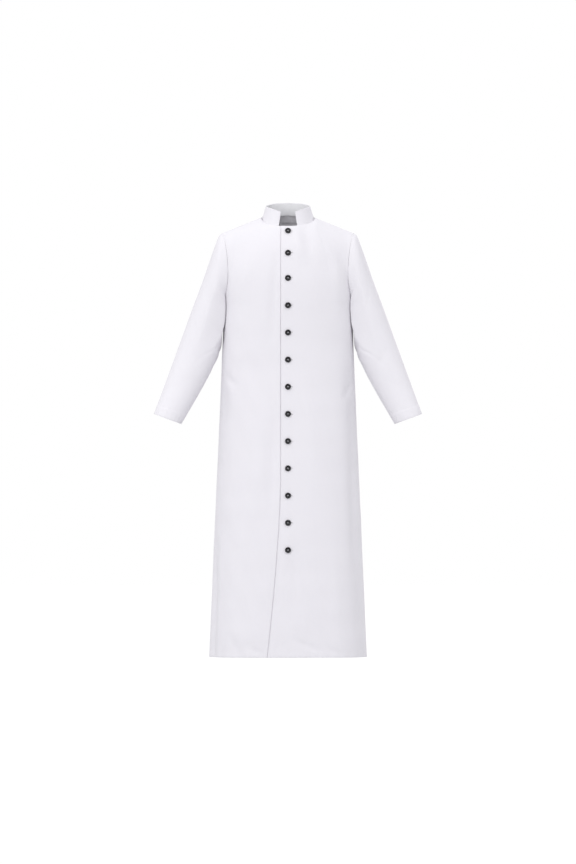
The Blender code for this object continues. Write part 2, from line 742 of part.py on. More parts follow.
cloth = make_material("white_cloth", CLOTH_WHITE, 0.85)
glossy_black = make_material("black_button", BUTTON_BLACK, 0.2)
add_body(cloth)
add_sleeve("sleeve_left", 1, cloth)
add_sleeve("sleeve_right", -1, cloth)
add_collar(cloth)
add_buttons(glossy_black)
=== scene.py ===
import math

import bmesh
import bpy
import numpy as np
from mathutils import Matrix, Vector


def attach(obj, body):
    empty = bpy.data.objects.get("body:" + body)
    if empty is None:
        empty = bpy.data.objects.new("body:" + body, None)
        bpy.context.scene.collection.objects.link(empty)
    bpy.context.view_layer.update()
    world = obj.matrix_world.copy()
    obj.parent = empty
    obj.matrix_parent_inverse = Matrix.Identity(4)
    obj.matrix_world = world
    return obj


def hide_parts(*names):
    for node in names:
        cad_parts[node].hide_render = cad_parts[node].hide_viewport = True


# A white cassock in the hollow form it has when worn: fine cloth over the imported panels, with its sewing.
# The front looks along -Y, the wearer's left is +X, and everything is in metres.

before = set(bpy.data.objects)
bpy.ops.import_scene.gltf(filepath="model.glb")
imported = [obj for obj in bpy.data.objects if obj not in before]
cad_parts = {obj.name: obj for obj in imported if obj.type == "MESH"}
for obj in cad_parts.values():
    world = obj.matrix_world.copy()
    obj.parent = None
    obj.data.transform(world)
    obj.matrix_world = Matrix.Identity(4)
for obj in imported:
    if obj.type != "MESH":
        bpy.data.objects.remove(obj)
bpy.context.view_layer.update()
print("frame loaded with", len(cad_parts), "nodes")


def table(names, *rows):
    # each row is values under the names of the columns
    return tuple(dict(zip(names.split(), row)) for row in rows)


# The form of the garment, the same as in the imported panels

bodyForm = {
    "hemZ": -1.470,
    "underarmZ": -0.295,
    "squareness": 2.45,
    "sections": table(
        "z halfWidth front back",
        (-1.470, 0.2640, 0.184, 0.198),
        (-1.256, 0.2545, 0.173, 0.186),
        (-0.935, 0.2405, 0.156, 0.163),
        (-0.700, 0.2300, 0.142, 0.146),
        (-0.471, 0.2205, 0.130, 0.124),
        (-0.295, 0.2140, 0.131, 0.121),
    ),
    # bearing in degrees from the middle of the front to the wearer's left, depth at the hem
    "folds": table(
        "bearing lean width depth top",
        (-12, 2, 13, -0.0030, -0.620),
        (-40, -4, 16, 0.0045, -0.560),
        (-69, -3, 11, -0.0085, -0.900),
        (13, 3, 11, -0.0040, -1.080),
        (38, 4, 16, 0.0050, -0.620),
        (70, 1, 12, -0.0090, -0.480),
        (112, 3, 14, 0.0090, -0.640),
        (134, 4, 11, -0.0100, -0.600),
        (154, 2, 12, 0.0120, -0.520),
        (177, 1, 11, -0.0110, -0.560),
        (201, -2, 12, 0.0125, -0.500),
        (224, -4, 11, -0.0105, -0.660),
        (246, -3, 14, 0.0095, -0.600),
    ),
    "foldOpens": 1.15,      # how soon a fold reaches its depth on the way down
    "foldSharpness": 2.0,
}

yokeForm = {
    "shoulderZ": -0.053,
    "sideNeckZ": 0.0,
    "frontNeckZ": -0.031,
    "backNeckZ": 0.008,
    "frontDip": 0.8,
    "neckHalfWidth": 0.088,
    "neckFront": 0.082,
    "neckBack": 0.074,
    "shoulderHalfWidth": 0.219,
    "underarmHalfWidth": 0.214,
    "armholeScoop": 0.0155,
    "scoopBelow": 2.2,
    "scoopAbove": 1.5,
    "armholeFront": 0.066,
    "armholeBack": 0.064,
    "armholePull": 3.5,
    "fullness": 2.2,
    "neckLean": 62.0,
}

openingForm = {
    "lap": 0.023,
    "lapAtHem": 0.068,
    "flareZ": -0.880,
    "flareBend": 1.5,
    "lapColumns": 2,
    "sideColumns": 12,
    "neckColumns": 6,
    "lapGap": 0.0006,
    "firstButtonZ": -0.048,
    "buttonSteps": (0.073, 0.0835) + (0.0907,) * 10,
    "buttonSeat": 0.0006,
}

sleeveForm = {
    "gap": 0.0006,
    "clearance": 0.0032,
    "liftOff": 0.006,
    "heldSections": 1.6,
    "hug": table(
        "z share",
        (-0.225, 0.0),
        (-0.270, 0.9),
        (-0.340, 1.0),
        (-0.385, 0.75),
        (-0.425, 0.35),
        (-0.465, 0.0),
    ),
    "creaseAcross": 0.9,    # which way a crease goes in, on an arm that slopes down
    "creaseUp": 0.3,
    "hugStarts": 80.0,
    "hugTurns": 45.0,
    "sections": table(
        "outerX outerZ innerX innerZ halfDepth forward",
        (0.2190, -0.053, 0.2140, -0.295, 0.0650, 0.001),
        (0.2310, -0.066, 0.2160, -0.306, 0.0680, 0.001),
        (0.2520, -0.122, 0.2180, -0.330, 0.0690, 0.004),
        (0.2840, -0.214, 0.2190, -0.364, 0.0670, 0.008),
        (0.3150, -0.297, 0.2200, -0.401, 0.0640, 0.012),
        (0.3490, -0.391, 0.2270, -0.447, 0.0600, 0.017),
        (0.3780, -0.471, 0.2490, -0.500, 0.0560, 0.024),
        (0.4130, -0.567, 0.3010, -0.596, 0.0490, 0.040),
        (0.4460, -0.658, 0.3570, -0.691, 0.0430, 0.060),
    ),
    # along is 0 at the armhole and 1 at the cuff, bearing is 90 at the front of the arm and 180 under it
    "creases": table(
        "along bearing width length tilt depth",
        (0.47, 150, 34, 0.035, -0.05, -0.0030),
        (0.62, 165, 40, 0.030, 0.04, -0.0040),
        (0.70, 215, 42, 0.032, -0.05, -0.0035),
        (0.55, 225, 36, 0.034, 0.06, -0.0030),
    ),
}

collarForm = {
    "sewnIn": 0.0006,       # its lower edge lies inside the neck seam
    "wall": 0.0022,
    "topHalfWidth": 0.0745,
    "topFront": 0.068,
    "topBack": 0.064,
    "openingBottom": 0.031,
    "openingTop": 0.024,
    "narrowing": 0.72,
    "topEdge": table(
        "turn z",
        (15, 0.0165),
        (45, 0.0280),
        (75, 0.0350),
        (105, 0.0400),
        (140, 0.0470),
        (180, 0.0500),
    ),
}

cloth = {
    "wall": 0.0016,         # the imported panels' wall
    "ply": 0.0009,          # one layer of the real cloth
    "turnedPly": 0.0005,    # layers turned in behind it
    "between": 0.0001,      # air between the two
    "seamGap": 0.0004,
    "rimSteps": 4,          # faces round a cut or folded edge
}


def softStep(value):
    t = np.clip(value, 0.0, 1.0)
    return t * t * (3.0 - 2.0 * t)


def unit(vectors):
    return vectors / np.maximum(np.linalg.norm(vectors, axis=-1, keepdims=True), 1e-12)


def readTable(rows, key, column, at):
    # the column's value where key is at, on a smooth curve through the rows
    if rows[0][key] > rows[-1][key]:
        rows = rows[::-1]
    xs = np.array([row[key] for row in rows], float)
    ys = np.array([row[column] for row in rows], float)
    at = np.clip(at, xs[0], xs[-1])
    slopes = np.empty_like(ys)
    slopes[1:-1] = (ys[2:] - ys[:-2]) / (xs[2:] - xs[:-2])
    slopes[0] = (ys[1] - ys[0]) / (xs[1] - xs[0])
    slopes[-1] = (ys[-1] - ys[-2]) / (xs[-1] - xs[-2])
    i = np.clip(np.searchsorted(xs, at, side="right") - 1, 0, len(xs) - 2)
    step = xs[i + 1] - xs[i]
    t = (at - xs[i]) / step
    return (
        ys[i] * (1 + 2 * t) * (1 - t) ** 2
        + slopes[i] * step * t * (1 - t) ** 2
        + ys[i + 1] * t * t * (3 - 2 * t)
        + slopes[i + 1] * step * t * t * (t - 1)
    )


def addPiece(name, data):
    piece = bpy.data.objects.new(name, data)
    bpy.context.scene.collection.objects.link(piece)
    return piece


def faceOutward(mesh):
    work = bmesh.new()
    work.from_mesh(mesh)
    bmesh.ops.recalc_face_normals(work, faces=work.faces)
    work.to_mesh(mesh)
    work.free()


def meshOf(name, work):
    mesh = bpy.data.meshes.new(name)
    work.to_mesh(mesh)
    work.free()
    return mesh


def meshToPlain(thing):
    # the mesh that a thing's modifiers make of it
    bpy.context.view_layer.update()
    return bpy.data.meshes.new_from_object(thing.evaluated_get(bpy.context.evaluated_depsgraph_get()))


# Body: places run from -1 at the wearer's right side seam to 1 at the left one, heights from 0 at the hem
# to 1 at the underarm and 2 at the neckline and the shoulder seam

panelColumns = openingForm["lapColumns"] + openingForm["sideColumns"]
lapShare = openingForm["lapColumns"] / panelColumns
neckShare = (openingForm["lapColumns"] + openingForm["neckColumns"]) / panelColumns


def lapAt(z):
    below = max(0.0, openingForm["flareZ"] - z) / (openingForm["flareZ"] - bodyForm["hemZ"])
    flare = openingForm["lapAtHem"] - openingForm["lap"]
    return openingForm["lap"] + flare * below ** openingForm["flareBend"]


def skirtRow(facing, shares, z):
    halfWidth = readTable(bodyForm["sections"], "z", "halfWidth", z)
    depth = readTable(bodyForm["sections"], "z", "front" if facing < 0 else "back", z)
    turns = np.radians(np.linspace(0.0, 90.0, 721))
    n = bodyForm["squareness"]
    reach = ((np.sin(turns) / halfWidth) ** n + (np.cos(turns) / depth) ** n) ** (-1.0 / n)
    across = reach * np.sin(turns)
    out = reach * np.cos(turns)
    lengths = np.concatenate(([0.0], np.cumsum(np.hypot(np.diff(across), np.diff(out)))))
    lap = lapAt(z)
    beyond = lap + (lengths[-1] - lap) * (shares - lapShare) / (1.0 - lapShare)
    wanted = np.where(shares <= lapShare, lap * shares / lapShare, beyond)
    return np.stack([
        np.interp(wanted, lengths, across),
        facing * np.interp(wanted, lengths, out),
        np.full(len(shares), z),
    ], -1)


def neckTurns():
    first = math.degrees(math.asin(openingForm["lap"] / yokeForm["neckHalfWidth"]))
    lap = np.linspace(0.0, first, openingForm["lapColumns"] + 1)
    rest = np.linspace(first, 90.0, openingForm["neckColumns"] + 1)
    return np.concatenate([lap, rest[1:]])


def neckPoints(turns, facing):
    across = np.sin(np.radians(turns))
    out = np.cos(np.radians(turns))
    if facing < 0:
        drop = yokeForm["frontNeckZ"] - yokeForm["sideNeckZ"]
        z = yokeForm["sideNeckZ"] + drop * np.maximum(0.0, out) ** yokeForm["frontDip"]
        y = -yokeForm["neckFront"] * out
    else:
        z = yokeForm["sideNeckZ"] + (yokeForm["backNeckZ"] - yokeForm["sideNeckZ"]) * (1.0 - across)
        y = yokeForm["neckBack"] * out
    return np.stack([yokeForm["neckHalfWidth"] * across, y, z], -1)


def topRow(facing, shares):
    turns = neckTurns()
    neck = neckPoints(np.interp(shares * panelColumns, np.arange(len(turns)), turns), facing)
    t = np.clip((shares - neckShare) / (1.0 - neckShare), 0.0, 1.0)
    width = yokeForm["shoulderHalfWidth"] - yokeForm["neckHalfWidth"]
    shoulder = np.stack([
        yokeForm["neckHalfWidth"] + width * t,
        np.zeros(len(shares)),
        yokeForm["sideNeckZ"] + (yokeForm["shoulderZ"] - yokeForm["sideNeckZ"]) * t,
    ], -1)
    return np.where((shares <= neckShare)[:, None], neck, shoulder)


def armholePoints(turns, facing):
    # turn is 0 at the underarm and 180 at the shoulder point, facing may be one number for each turn
    rise = 0.5 * (1.0 - np.cos(np.radians(turns)))
    bulge = np.sin(np.radians(turns)).clip(0.0)
    scoop = np.where(turns < 90.0, bulge ** yokeForm["scoopBelow"], bulge ** yokeForm["scoopAbove"])
    depth = np.where(np.asarray(facing) < 0, yokeForm["armholeFront"], yokeForm["armholeBack"])
    width = yokeForm["shoulderHalfWidth"] - yokeForm["underarmHalfWidth"]
    return np.stack([
        yokeForm["underarmHalfWidth"] + width * rise - yokeForm["armholeScoop"] * scoop,
        facing * depth * bulge,
        bodyForm["underarmZ"] + (yokeForm["shoulderZ"] - bodyForm["underarmZ"]) * rise,
    ], -1)


def yokeRow(facing, shares, climb):
    def over(low, high, lean):
        turn = np.radians(lean * climb)
        most = np.radians(lean)
        power = 2.0 / yokeForm["fullness"]
        up = (np.sin(turn) / np.sin(most)) ** power
        back = (1.0 - np.cos(turn).clip(0.0) ** power) / (1.0 - np.cos(most).clip(0.0) ** power)
        rate = np.stack([np.full(len(lean), softStep(climb)), back, up], -1)
        return low + (high - low) * rate

    lean = yokeForm["neckLean"] + (90.0 - yokeForm["neckLean"]) * softStep(shares / neckShare)
    points = over(skirtRow(facing, shares, bodyForm["underarmZ"]), topRow(facing, shares), lean)
    side = np.ones(1)
    plain = over(skirtRow(facing, side, bodyForm["underarmZ"]), topRow(facing, side), 90.0 * side)
    pull = armholePoints(np.array([180.0 * climb]), facing) - plain
    return points + pull * (shares ** yokeForm["armholePull"])[:, None]


def bodyReach(points):
    # how far points are outside the body below the underarm, and the direction outward
    z = np.minimum(points[..., 2], bodyForm["underarmZ"])
    halfWidth = readTable(bodyForm["sections"], "z", "halfWidth", z)
    front = readTable(bodyForm["sections"], "z", "front", z)
    back = readTable(bodyForm["sections"], "z", "back", z)
    depth = np.where(points[..., 1] < 0, front, back)
    n = bodyForm["squareness"]
    x = np.abs(points[..., 0]) / halfWidth
    y = np.abs(points[..., 1]) / depth
    level = (x ** n + y ** n) ** (1.0 / n)
    slope = np.stack([
        np.copysign(x ** (n - 1) / halfWidth, points[..., 0]),
        np.copysign(y ** (n - 1) / depth, points[..., 1]),
        np.zeros_like(x),
    ], -1)
    steepness = np.linalg.norm(slope, axis=-1) * level ** (1.0 - n)
    return (level - 1.0) / steepness, unit(slope)


def gridNormals(points, isTube=False):
    # rows go up, columns go to the wearer's left, or round the arm on a tube
    if isTube:
        across = np.roll(points, -1, axis=1) - np.roll(points, 1, axis=1)
    else:
        across = np.gradient(points, axis=1)
    return unit(np.cross(across, np.gradient(points, axis=0)))


def lengthsAlong(points, axis):
    # the length of cloth from the first row or column to each point
    steps = np.linalg.norm(np.diff(points, axis=axis), axis=-1)
    return np.concatenate([np.zeros_like(steps.take([0], axis)), np.cumsum(steps, axis=axis)], axis=axis)


def asSheet(columns, rows, points, normals, across, up, isTube=False):
    return {
        "columns": np.asarray(columns, float), "rows": np.asarray(rows, float), "points": points,
        "normals": normals, "uv": np.stack([across, up], -1), "isTube": isTube,
    }


def foldDepth(bearings, z):
    total = np.zeros_like(z)
    for fold in bodyForm["folds"]:
        down = (fold["top"] - z) / (fold["top"] - bodyForm["hemZ"])
        away = (bearings - fold["bearing"] - fold["lean"] * down + 180.0) % 360.0 - 180.0
        swell = np.exp(-((away / fold["width"]) ** 2) * bodyForm["foldSharpness"])
        total += fold["depth"] * softStep(down * bodyForm["foldOpens"]) * swell
    return total


creaseEnds = 0.4            # how deep a crease is at its ends


def creaseDepth(creases, across, z):
    # soft troughs and ridges along short lines in the cloth, deepest halfway
    total = np.zeros_like(z)
    for crease in creases:
        startAcross, startZ = crease["start"]
        runAcross = crease["end"][0] - startAcross
        runZ = crease["end"][1] - startZ
        length = runAcross ** 2 + runZ ** 2
        t = np.clip(((across - startAcross) * runAcross + (z - startZ) * runZ) / length, 0.0, 1.0)
        away = np.hypot(across - startAcross - t * runAcross, z - startZ - t * runZ)
        along = creaseEnds + (1.0 - creaseEnds) * np.sin(math.pi * t)
        total += crease["depth"] * np.exp(-(away / crease["width"]) ** 2) * along
    return total


unevenness = {
    "seed": 11,
    "waves": 16,
    "shortest": 0.06,
    "longest": 0.26,
    "height": 0.00016,      # of one wave
}


def unevenCloth(across, z, seed):
    # pressed cloth is never quite flat: a few long waves at random angles
    rng = np.random.default_rng(unevenness["seed"] + seed)
    total = np.zeros_like(z)
    for _ in range(unevenness["waves"]):
        wave = rng.uniform(unevenness["shortest"], unevenness["longest"])
        angle = rng.uniform(0.0, math.pi)
        phase = rng.uniform(0.0, 2.0 * math.pi)
        turn = 2.0 * math.pi / wave
        distance = across * math.cos(angle) + z * math.sin(angle)
        total += unevenness["height"] * np.sin(turn * distance + phase)
    return total


def buttonHeights():
    steps = np.array(openingForm["buttonSteps"])
    return openingForm["firstButtonZ"] - np.concatenate(([0.0], np.cumsum(steps)))


frontCreases = {
    "dimple": 0.0007,       # where a button draws the cloth in
    "dimpleSize": 0.013,
    "hemPucker": 0.0007,
    "hemPuckerWave": 0.031,
    "hemPuckerRise": 0.034,
    # across the cloth from the middle of the front to the wearer's left, and height
    "lines": table(
        "start end width depth",
        # at the hips
        ((-0.224, -0.532), (-0.186, -0.560), 0.012, -0.0042),
        ((-0.228, -0.560), (-0.236, -0.690), 0.022, -0.0040),
        ((-0.150, -0.470), (-0.190, -0.585), 0.020, -0.0018),
        ((0.236, -0.560), (0.196, -0.606), 0.013, -0.0042),
        ((0.214, -0.500), (0.236, -0.680), 0.024, -0.0040),
        ((0.236, -0.640), (0.246, -1.180), 0.022, -0.0048),
        # from the collar over the chest
        ((0.022, -0.060), (0.050, -0.135), 0.017, 0.0036),
        ((0.056, -0.048), (0.090, -0.130), 0.020, -0.0058),
        ((0.110, -0.130), (0.150, -0.300), 0.030, -0.0042),
        ((0.172, -0.130), (0.176, -0.260), 0.018, 0.0018),
        ((-0.040, -0.130), (-0.050, -0.400), 0.016, -0.0034),
        ((-0.078, -0.160), (-0.086, -0.420), 0.020, 0.0016),
        ((-0.120, -0.110), (-0.166, -0.240), 0.028, 0.0026),
        # down the skirt
        ((-0.050, -0.690), (-0.056, -0.970), 0.020, -0.0044),
        ((-0.100, -0.700), (-0.112, -1.020), 0.026, 0.0030),
        ((0.070, -0.560), (0.086, -1.000), 0.030, 0.0026),
        ((0.016, -1.120), (0.024, -1.330), 0.022, -0.0044),
        ((0.120, -1.060), (0.142, -1.400), 0.030, -0.0034),
        ((-0.250, -1.080), (-0.272, -1.430), 0.018, 0.0034),
        ((-0.290, -1.090), (-0.312, -1.440), 0.020, -0.0088),
        ((-0.150, -1.120), (-0.168, -1.430), 0.032, -0.0030),
        # along the hem
        ((-0.195, -1.400), (-0.165, -1.470), 0.014, -0.0024),
        ((-0.140, -1.432), (-0.080, -1.462), 0.010, -0.0016),
        ((0.020, -1.412), (0.104, -1.446), 0.010, -0.0020),
        ((0.125, -1.436), (0.185, -1.464), 0.012, -0.0018),
    ),
    "lapGroove": 0.0016,      # pressed into the lower front along the edge of the upper one
    "lapGrooveWidth": 0.0015,
}

backCreases = {
    "hemPucker": 0.0007,
    "hemPuckerWave": 0.034,
    "hemPuckerRise": 0.034,
    "lines": table(
        "start end width depth",
        ((-0.226, -0.520), (-0.190, -0.552), 0.013, -0.0036),
        ((-0.206, -0.490), (-0.232, -0.660), 0.022, -0.0036),
        ((0.230, -0.545), (0.188, -0.590), 0.013, -0.0038),
        ((0.196, -0.500), (0.228, -0.680), 0.022, -0.0040),
        ((-0.060, -0.075), (-0.135, -0.180), 0.024, -0.0026),
        ((0.064, -0.080), (0.128, -0.196), 0.026, -0.0030),
        ((-0.034, -0.418), (0.056, -0.455), 0.020, -0.0028),
        ((-0.088, -0.466), (0.010, -0.505), 0.018, -0.0024),
        ((0.040, -0.520), (0.130, -0.548), 0.018, -0.0018),
        ((0.092, -0.560), (0.110, -0.800), 0.024, 0.0028),
        ((-0.120, -0.610), (-0.106, -0.880), 0.024, 0.0026),
        ((-0.200, -1.060), (-0.214, -1.400), 0.024, -0.0040),
        ((0.226, -1.000), (0.246, -1.380), 0.024, -0.0044),
        ((0.040, -1.400), (0.095, -1.455), 0.012, -0.0022),
        ((-0.160, -1.420), (-0.104, -1.460), 0.012, -0.0018),
    ),
}


panelFinish = {
    # from here to the side and up, a panel's face turns with the body under the arm
    "underarmPlace": 0.6,
    "underarmPlaceFade": 0.35,
    "underarmHeight": 1.15,
    "underarmHeightFade": 0.4,
    "sideCalm": 0.94,           # creases fade out from here to the seams
    "sideCalmFade": 0.06,
    "topCalm": 1.86,
    "topCalmFade": 0.12,
    "dimpleUp": 1.5,
    "puckerSway": 3.0,
    "puckerSwayTurns": 17.0,
    "small": 0.001,
}


def bodySheet(facing, places, heights, lift, creases, onLap=None):
    # the outer face of a panel with its folds and creases, as grids of points and normals
    places = np.asarray(places, float)
    rows = []
    for height in heights:
        if height <= 1.0:
            z = bodyForm["hemZ"] + (bodyForm["underarmZ"] - bodyForm["hemZ"]) * height
            rows.append(skirtRow(facing, np.abs(places), z))
        else:
            rows.append(yokeRow(facing, np.abs(places), height - 1.0))
    points = np.stack(rows)
    points[..., 0] *= np.where(places < 0, -1.0, 1.0)
    z = points[..., 2].copy()
    outward = -facing * gridNormals(points)
    bearings = 90.0 * places if facing < 0 else 180.0 - 90.0 * places
    depth = foldDepth(np.broadcast_to(bearings, z.shape), z)
    points[..., :2] += outward[..., :2] * depth[..., None]
    across = lengthsAlong(points, 1)
    across -= np.array([np.interp(0.0, places, row) for row in across])[:, None]
    up = lengthsAlong(points, 0)

    finish = panelFinish
    normals = -facing * gridNormals(points)
    height = np.asarray(heights)[:, None]
    edge = np.abs(places)
    underarm = softStep((edge - finish["underarmPlace"]) / finish["underarmPlaceFade"])
    underarm = underarm * (1.0 - softStep((height - finish["underarmHeight"]) / finish["underarmHeightFade"]))
    underarm = underarm * (height > 1.0 + finish["small"])
    normals = unit(normals + (bodyReach(points)[1] - normals) * underarm[..., None])
    onSide = (edge > 1.0 - finish["small"] / 10) & (height < 1.0 + finish["small"])
    onShoulder = (edge > neckShare - finish["small"]) & (height > 2.0 - finish["small"] / 10)
    onSeam = onSide | onShoulder
    normals[..., 1] = np.where(onSeam, 0.0, normals[..., 1])
    normals = unit(normals)

    hemRise = (z - bodyForm["hemZ"]) / creases["hemPuckerRise"]
    sway = finish["puckerSway"] * np.sin(across * finish["puckerSwayTurns"])
    pucker = np.sin(2.0 * math.pi * across / creases["hemPuckerWave"] + sway)
    extra = creaseDepth(creases["lines"], across, z)
    extra += unevenCloth(across, z, 0 if facing < 0 else 1)
    extra += creases["hemPucker"] * pucker * np.exp(-hemRise ** 2 * 2.0)
    if "dimple" in creases:
        for buttonZ in buttonHeights():
            away = np.hypot(across, (z - buttonZ) * finish["dimpleUp"]) / creases["dimpleSize"]
            extra -= creases["dimple"] * np.exp(-away ** 2)
    if onLap is not None:
        lapEdge = np.array([lapAt(row) for row in z[:, 0]])[:, None]
        away = (points[..., 0] + lapEdge + onLap / 2) / onLap
        extra -= creases["lapGroove"] * np.exp(-away ** 2)
    extra *= 1.0 - softStep((edge - finish["sideCalm"]) / finish["sideCalmFade"])
    extra *= 1.0 - softStep((height - finish["topCalm"]) / finish["topCalmFade"])
    points = points + normals * (extra + lift(places))[..., None]
    points[..., 1] = np.where(onSeam, points[..., 1] + facing * cloth["seamGap"] / 2, points[..., 1])
    return asSheet(places, heights, points, normals, across, up)


def overLap(places):
    beyond = (places - lapShare) / (neckShare - lapShare)
    return (cloth["wall"] + openingForm["lapGap"]) * (1.0 - softStep(beyond))


def onBody(places):
    return np.zeros(len(places))


# Sleeves: turns run from 0 over the arm to 90 in front and 180 under it, alongs from 0 at the armhole
# to 1 at the cuff

sleeveCreases = {
    # bearing and along as in the form, each with its own size
    "lines": table(
        "along bearing width length tilt depth",
        (0.30, 120, 30, 0.030, -0.06, -0.0016),
        (0.40, 70, 26, 0.026, 0.05, -0.0010),
        (0.66, 120, 24, 0.022, -0.07, -0.0016),
        (0.74, 95, 30, 0.026, 0.05, -0.0018),
        (0.80, 140, 26, 0.020, 0.03, -0.0014),
        (0.86, 70, 30, 0.026, -0.03, -0.0012),
        (0.35, 250, 32, 0.032, 0.05, -0.0016),
        (0.64, 265, 34, 0.024, -0.05, -0.0020),
        (0.77, 285, 28, 0.024, 0.04, -0.0014),
    ),
    "cuffPucker": 0.0003,
    "cuffPuckerTurns": 17,
    "cuffPuckerRise": 0.04,
    "cuffPuckerSway": 2.0,
    "cuffPuckerSwayTurns": 3.0,
}


def sleeveRow(turns, along):
    last = len(sleeveForm["sections"]) - 1
    rows = [dict(row, at=k / last) for k, row in enumerate(sleeveForm["sections"])]
    size = {name: readTable(rows, "at", name, along) for name in rows[0]}
    angle = np.radians(turns)

    def ring(row):
        outer = np.array([row["outerX"], -row["forward"], row["outerZ"]])
        inner = np.array([row["innerX"], -row["forward"], row["innerZ"]])
        made = (outer + inner) / 2 + (outer - inner) / 2 * np.cos(angle)[:, None]
        made[:, 1] -= row["halfDepth"] * np.sin(angle)
        return made

    facing = np.where(turns <= 180.0, -1.0, 1.0)
    seam = armholePoints(np.abs(180.0 - turns), facing)
    held = 1.0 - softStep(along * last / sleeveForm["heldSections"])
    points = ring(size) + (seam - ring(rows[0])) * held
    outward = np.stack([
        np.cos(angle) * sleeveForm["creaseAcross"], -np.sin(angle), sleeveForm["creaseUp"] * np.cos(angle),
    ], -1)
    for crease in sleeveForm["creases"] + sleeveCreases["lines"]:
        away = (turns - crease["bearing"]) / crease["width"]
        level = (along - crease["along"] - crease["tilt"] * away) / crease["length"]
        points += outward * (crease["depth"] * np.exp(-away * away - level * level))[:, None]
    cuff = math.exp(-((1.0 - along) / sleeveCreases["cuffPuckerRise"]) ** 2) * sleeveCreases["cuffPucker"]
    sway = sleeveCreases["cuffPuckerSway"] * np.sin(sleeveCreases["cuffPuckerSwayTurns"] * angle)
    points += outward * (cuff * np.sin(angle * sleeveCreases["cuffPuckerTurns"] + sway))[:, None]

    reach, away = bodyReach(points)
    seamReach = bodyReach(seam)[0]
    opened = np.minimum(1.0, np.linalg.norm(points - seam, axis=-1) / sleeveForm["liftOff"])
    wanted = seamReach + (sleeveForm["clearance"] - seamReach) * opened
    fromTop = np.minimum(turns, 360.0 - turns)
    innerSide = softStep((fromTop - sleeveForm["hugStarts"]) / sleeveForm["hugTurns"])
    hug = innerSide * readTable(sleeveForm["hug"], "z", "share", points[:, 2])
    share = np.where(reach < wanted, 1.0, hug) * (away[:, 0] > 0)
    return points + away * ((wanted - reach) * share)[:, None]


# where a sleeve's face follows the body at its seam
capBlend = {"last": 120.0, "turns": 60.0, "step": 0.01}


def sleeveSheet(side, turns, alongs):
    points = np.stack([sleeveRow(turns, along) for along in alongs])
    normals = -gridNormals(points, isTube=True)
    step = capBlend["step"]
    for facing, chosen in ((-1, turns <= 180.0), (1, turns > 180.0)):
        for k in np.flatnonzero(chosen):
            height = 1.0 + abs(180.0 - turns[k]) / 180.0
            nearPlaces = (1.0 - 2 * step, 1.0 - step, 1.0)
            nearHeights = (height - step, min(2.0, height), min(2.0, height + step))
            body = bodySheet(facing, nearPlaces, nearHeights, onBody, backCreases)["normals"][1, 2]
            share = softStep((capBlend["last"] - min(turns[k], 360.0 - turns[k])) / capBlend["turns"])
            normals[0, k] += (body - normals[0, k]) * share
    normals = unit(normals)
    points[..., 0] += sleeveForm["gap"]
    closed = np.concatenate([points, points[:, :1]], axis=1)
    points[..., 0] *= side
    normals[..., 0] *= side
    across = lengthsAlong(closed, 1)
    return asSheet(turns, alongs, points, normals, across, lengthsAlong(closed, 0), isTube=True)


# Collar: columns run from 0 at the wearer's left end round the back to 1 at the right end, rises from 0
# to 1 at the top

def collarSheet(columns, rises):
    def between(bottom, top, share):
        return bottom + (top - bottom) * share

    columns = np.asarray(columns, float)
    points = []
    for rise in rises:
        narrow = rise ** collarForm["narrowing"]
        halfWidth = between(yokeForm["neckHalfWidth"], collarForm["topHalfWidth"], narrow)
        opening = between(collarForm["openingBottom"], collarForm["openingTop"], rise)
        end = math.degrees(math.asin(opening / halfWidth))
        turns = end + (360.0 - 2.0 * end) * columns
        across = np.sin(np.radians(turns))
        out = np.cos(np.radians(turns))
        isFront = out > 1e-9
        frontDepth = between(yokeForm["neckFront"], collarForm["topFront"], narrow)
        backDepth = between(yokeForm["neckBack"], collarForm["topBack"], narrow)
        sideTurns = np.degrees(np.arcsin(np.minimum(1.0, np.abs(across))))
        base = np.where(isFront, neckPoints(sideTurns, -1)[:, 2], neckPoints(sideTurns, 1)[:, 2])
        bottom = base - collarForm["sewnIn"]
        top = readTable(collarForm["topEdge"], "turn", "z", np.minimum(turns, 360.0 - turns))
        points.append(np.stack([
            halfWidth * across,
            -np.where(isFront, frontDepth, backDepth) * out,
            between(bottom, top, rise),
        ], -1))
    points = np.stack(points)
    across = lengthsAlong(points, 1)
    return asSheet(columns, rises, points, gridNormals(points), across, lengthsAlong(points, 0))


# Cloth shells

def edgeLoops(rows, columns, isTube):
    # each loop as grid places in order round an edge, and the same places in the UV grid with those
    # that follow
    width = columns + 1 if isTube else columns
    if isTube:
        loops = []
        for i in (0, rows - 1):
            j = np.arange(columns)
            loops.append((i * columns + j, i * width + j, i * width + j + 1))
        return loops
    bottom = [(0, j) for j in range(columns - 1)]
    left = [(i, columns - 1) for i in range(rows - 1)]
    top = [(rows - 1, j) for j in range(columns - 1, 0, -1)]
    right = [(i, 0) for i in range(rows - 1, 0, -1)]
    places = np.array([i * columns + j for i, j in bottom + left + top + right])
    return [(places, places, np.roll(places, -1))]


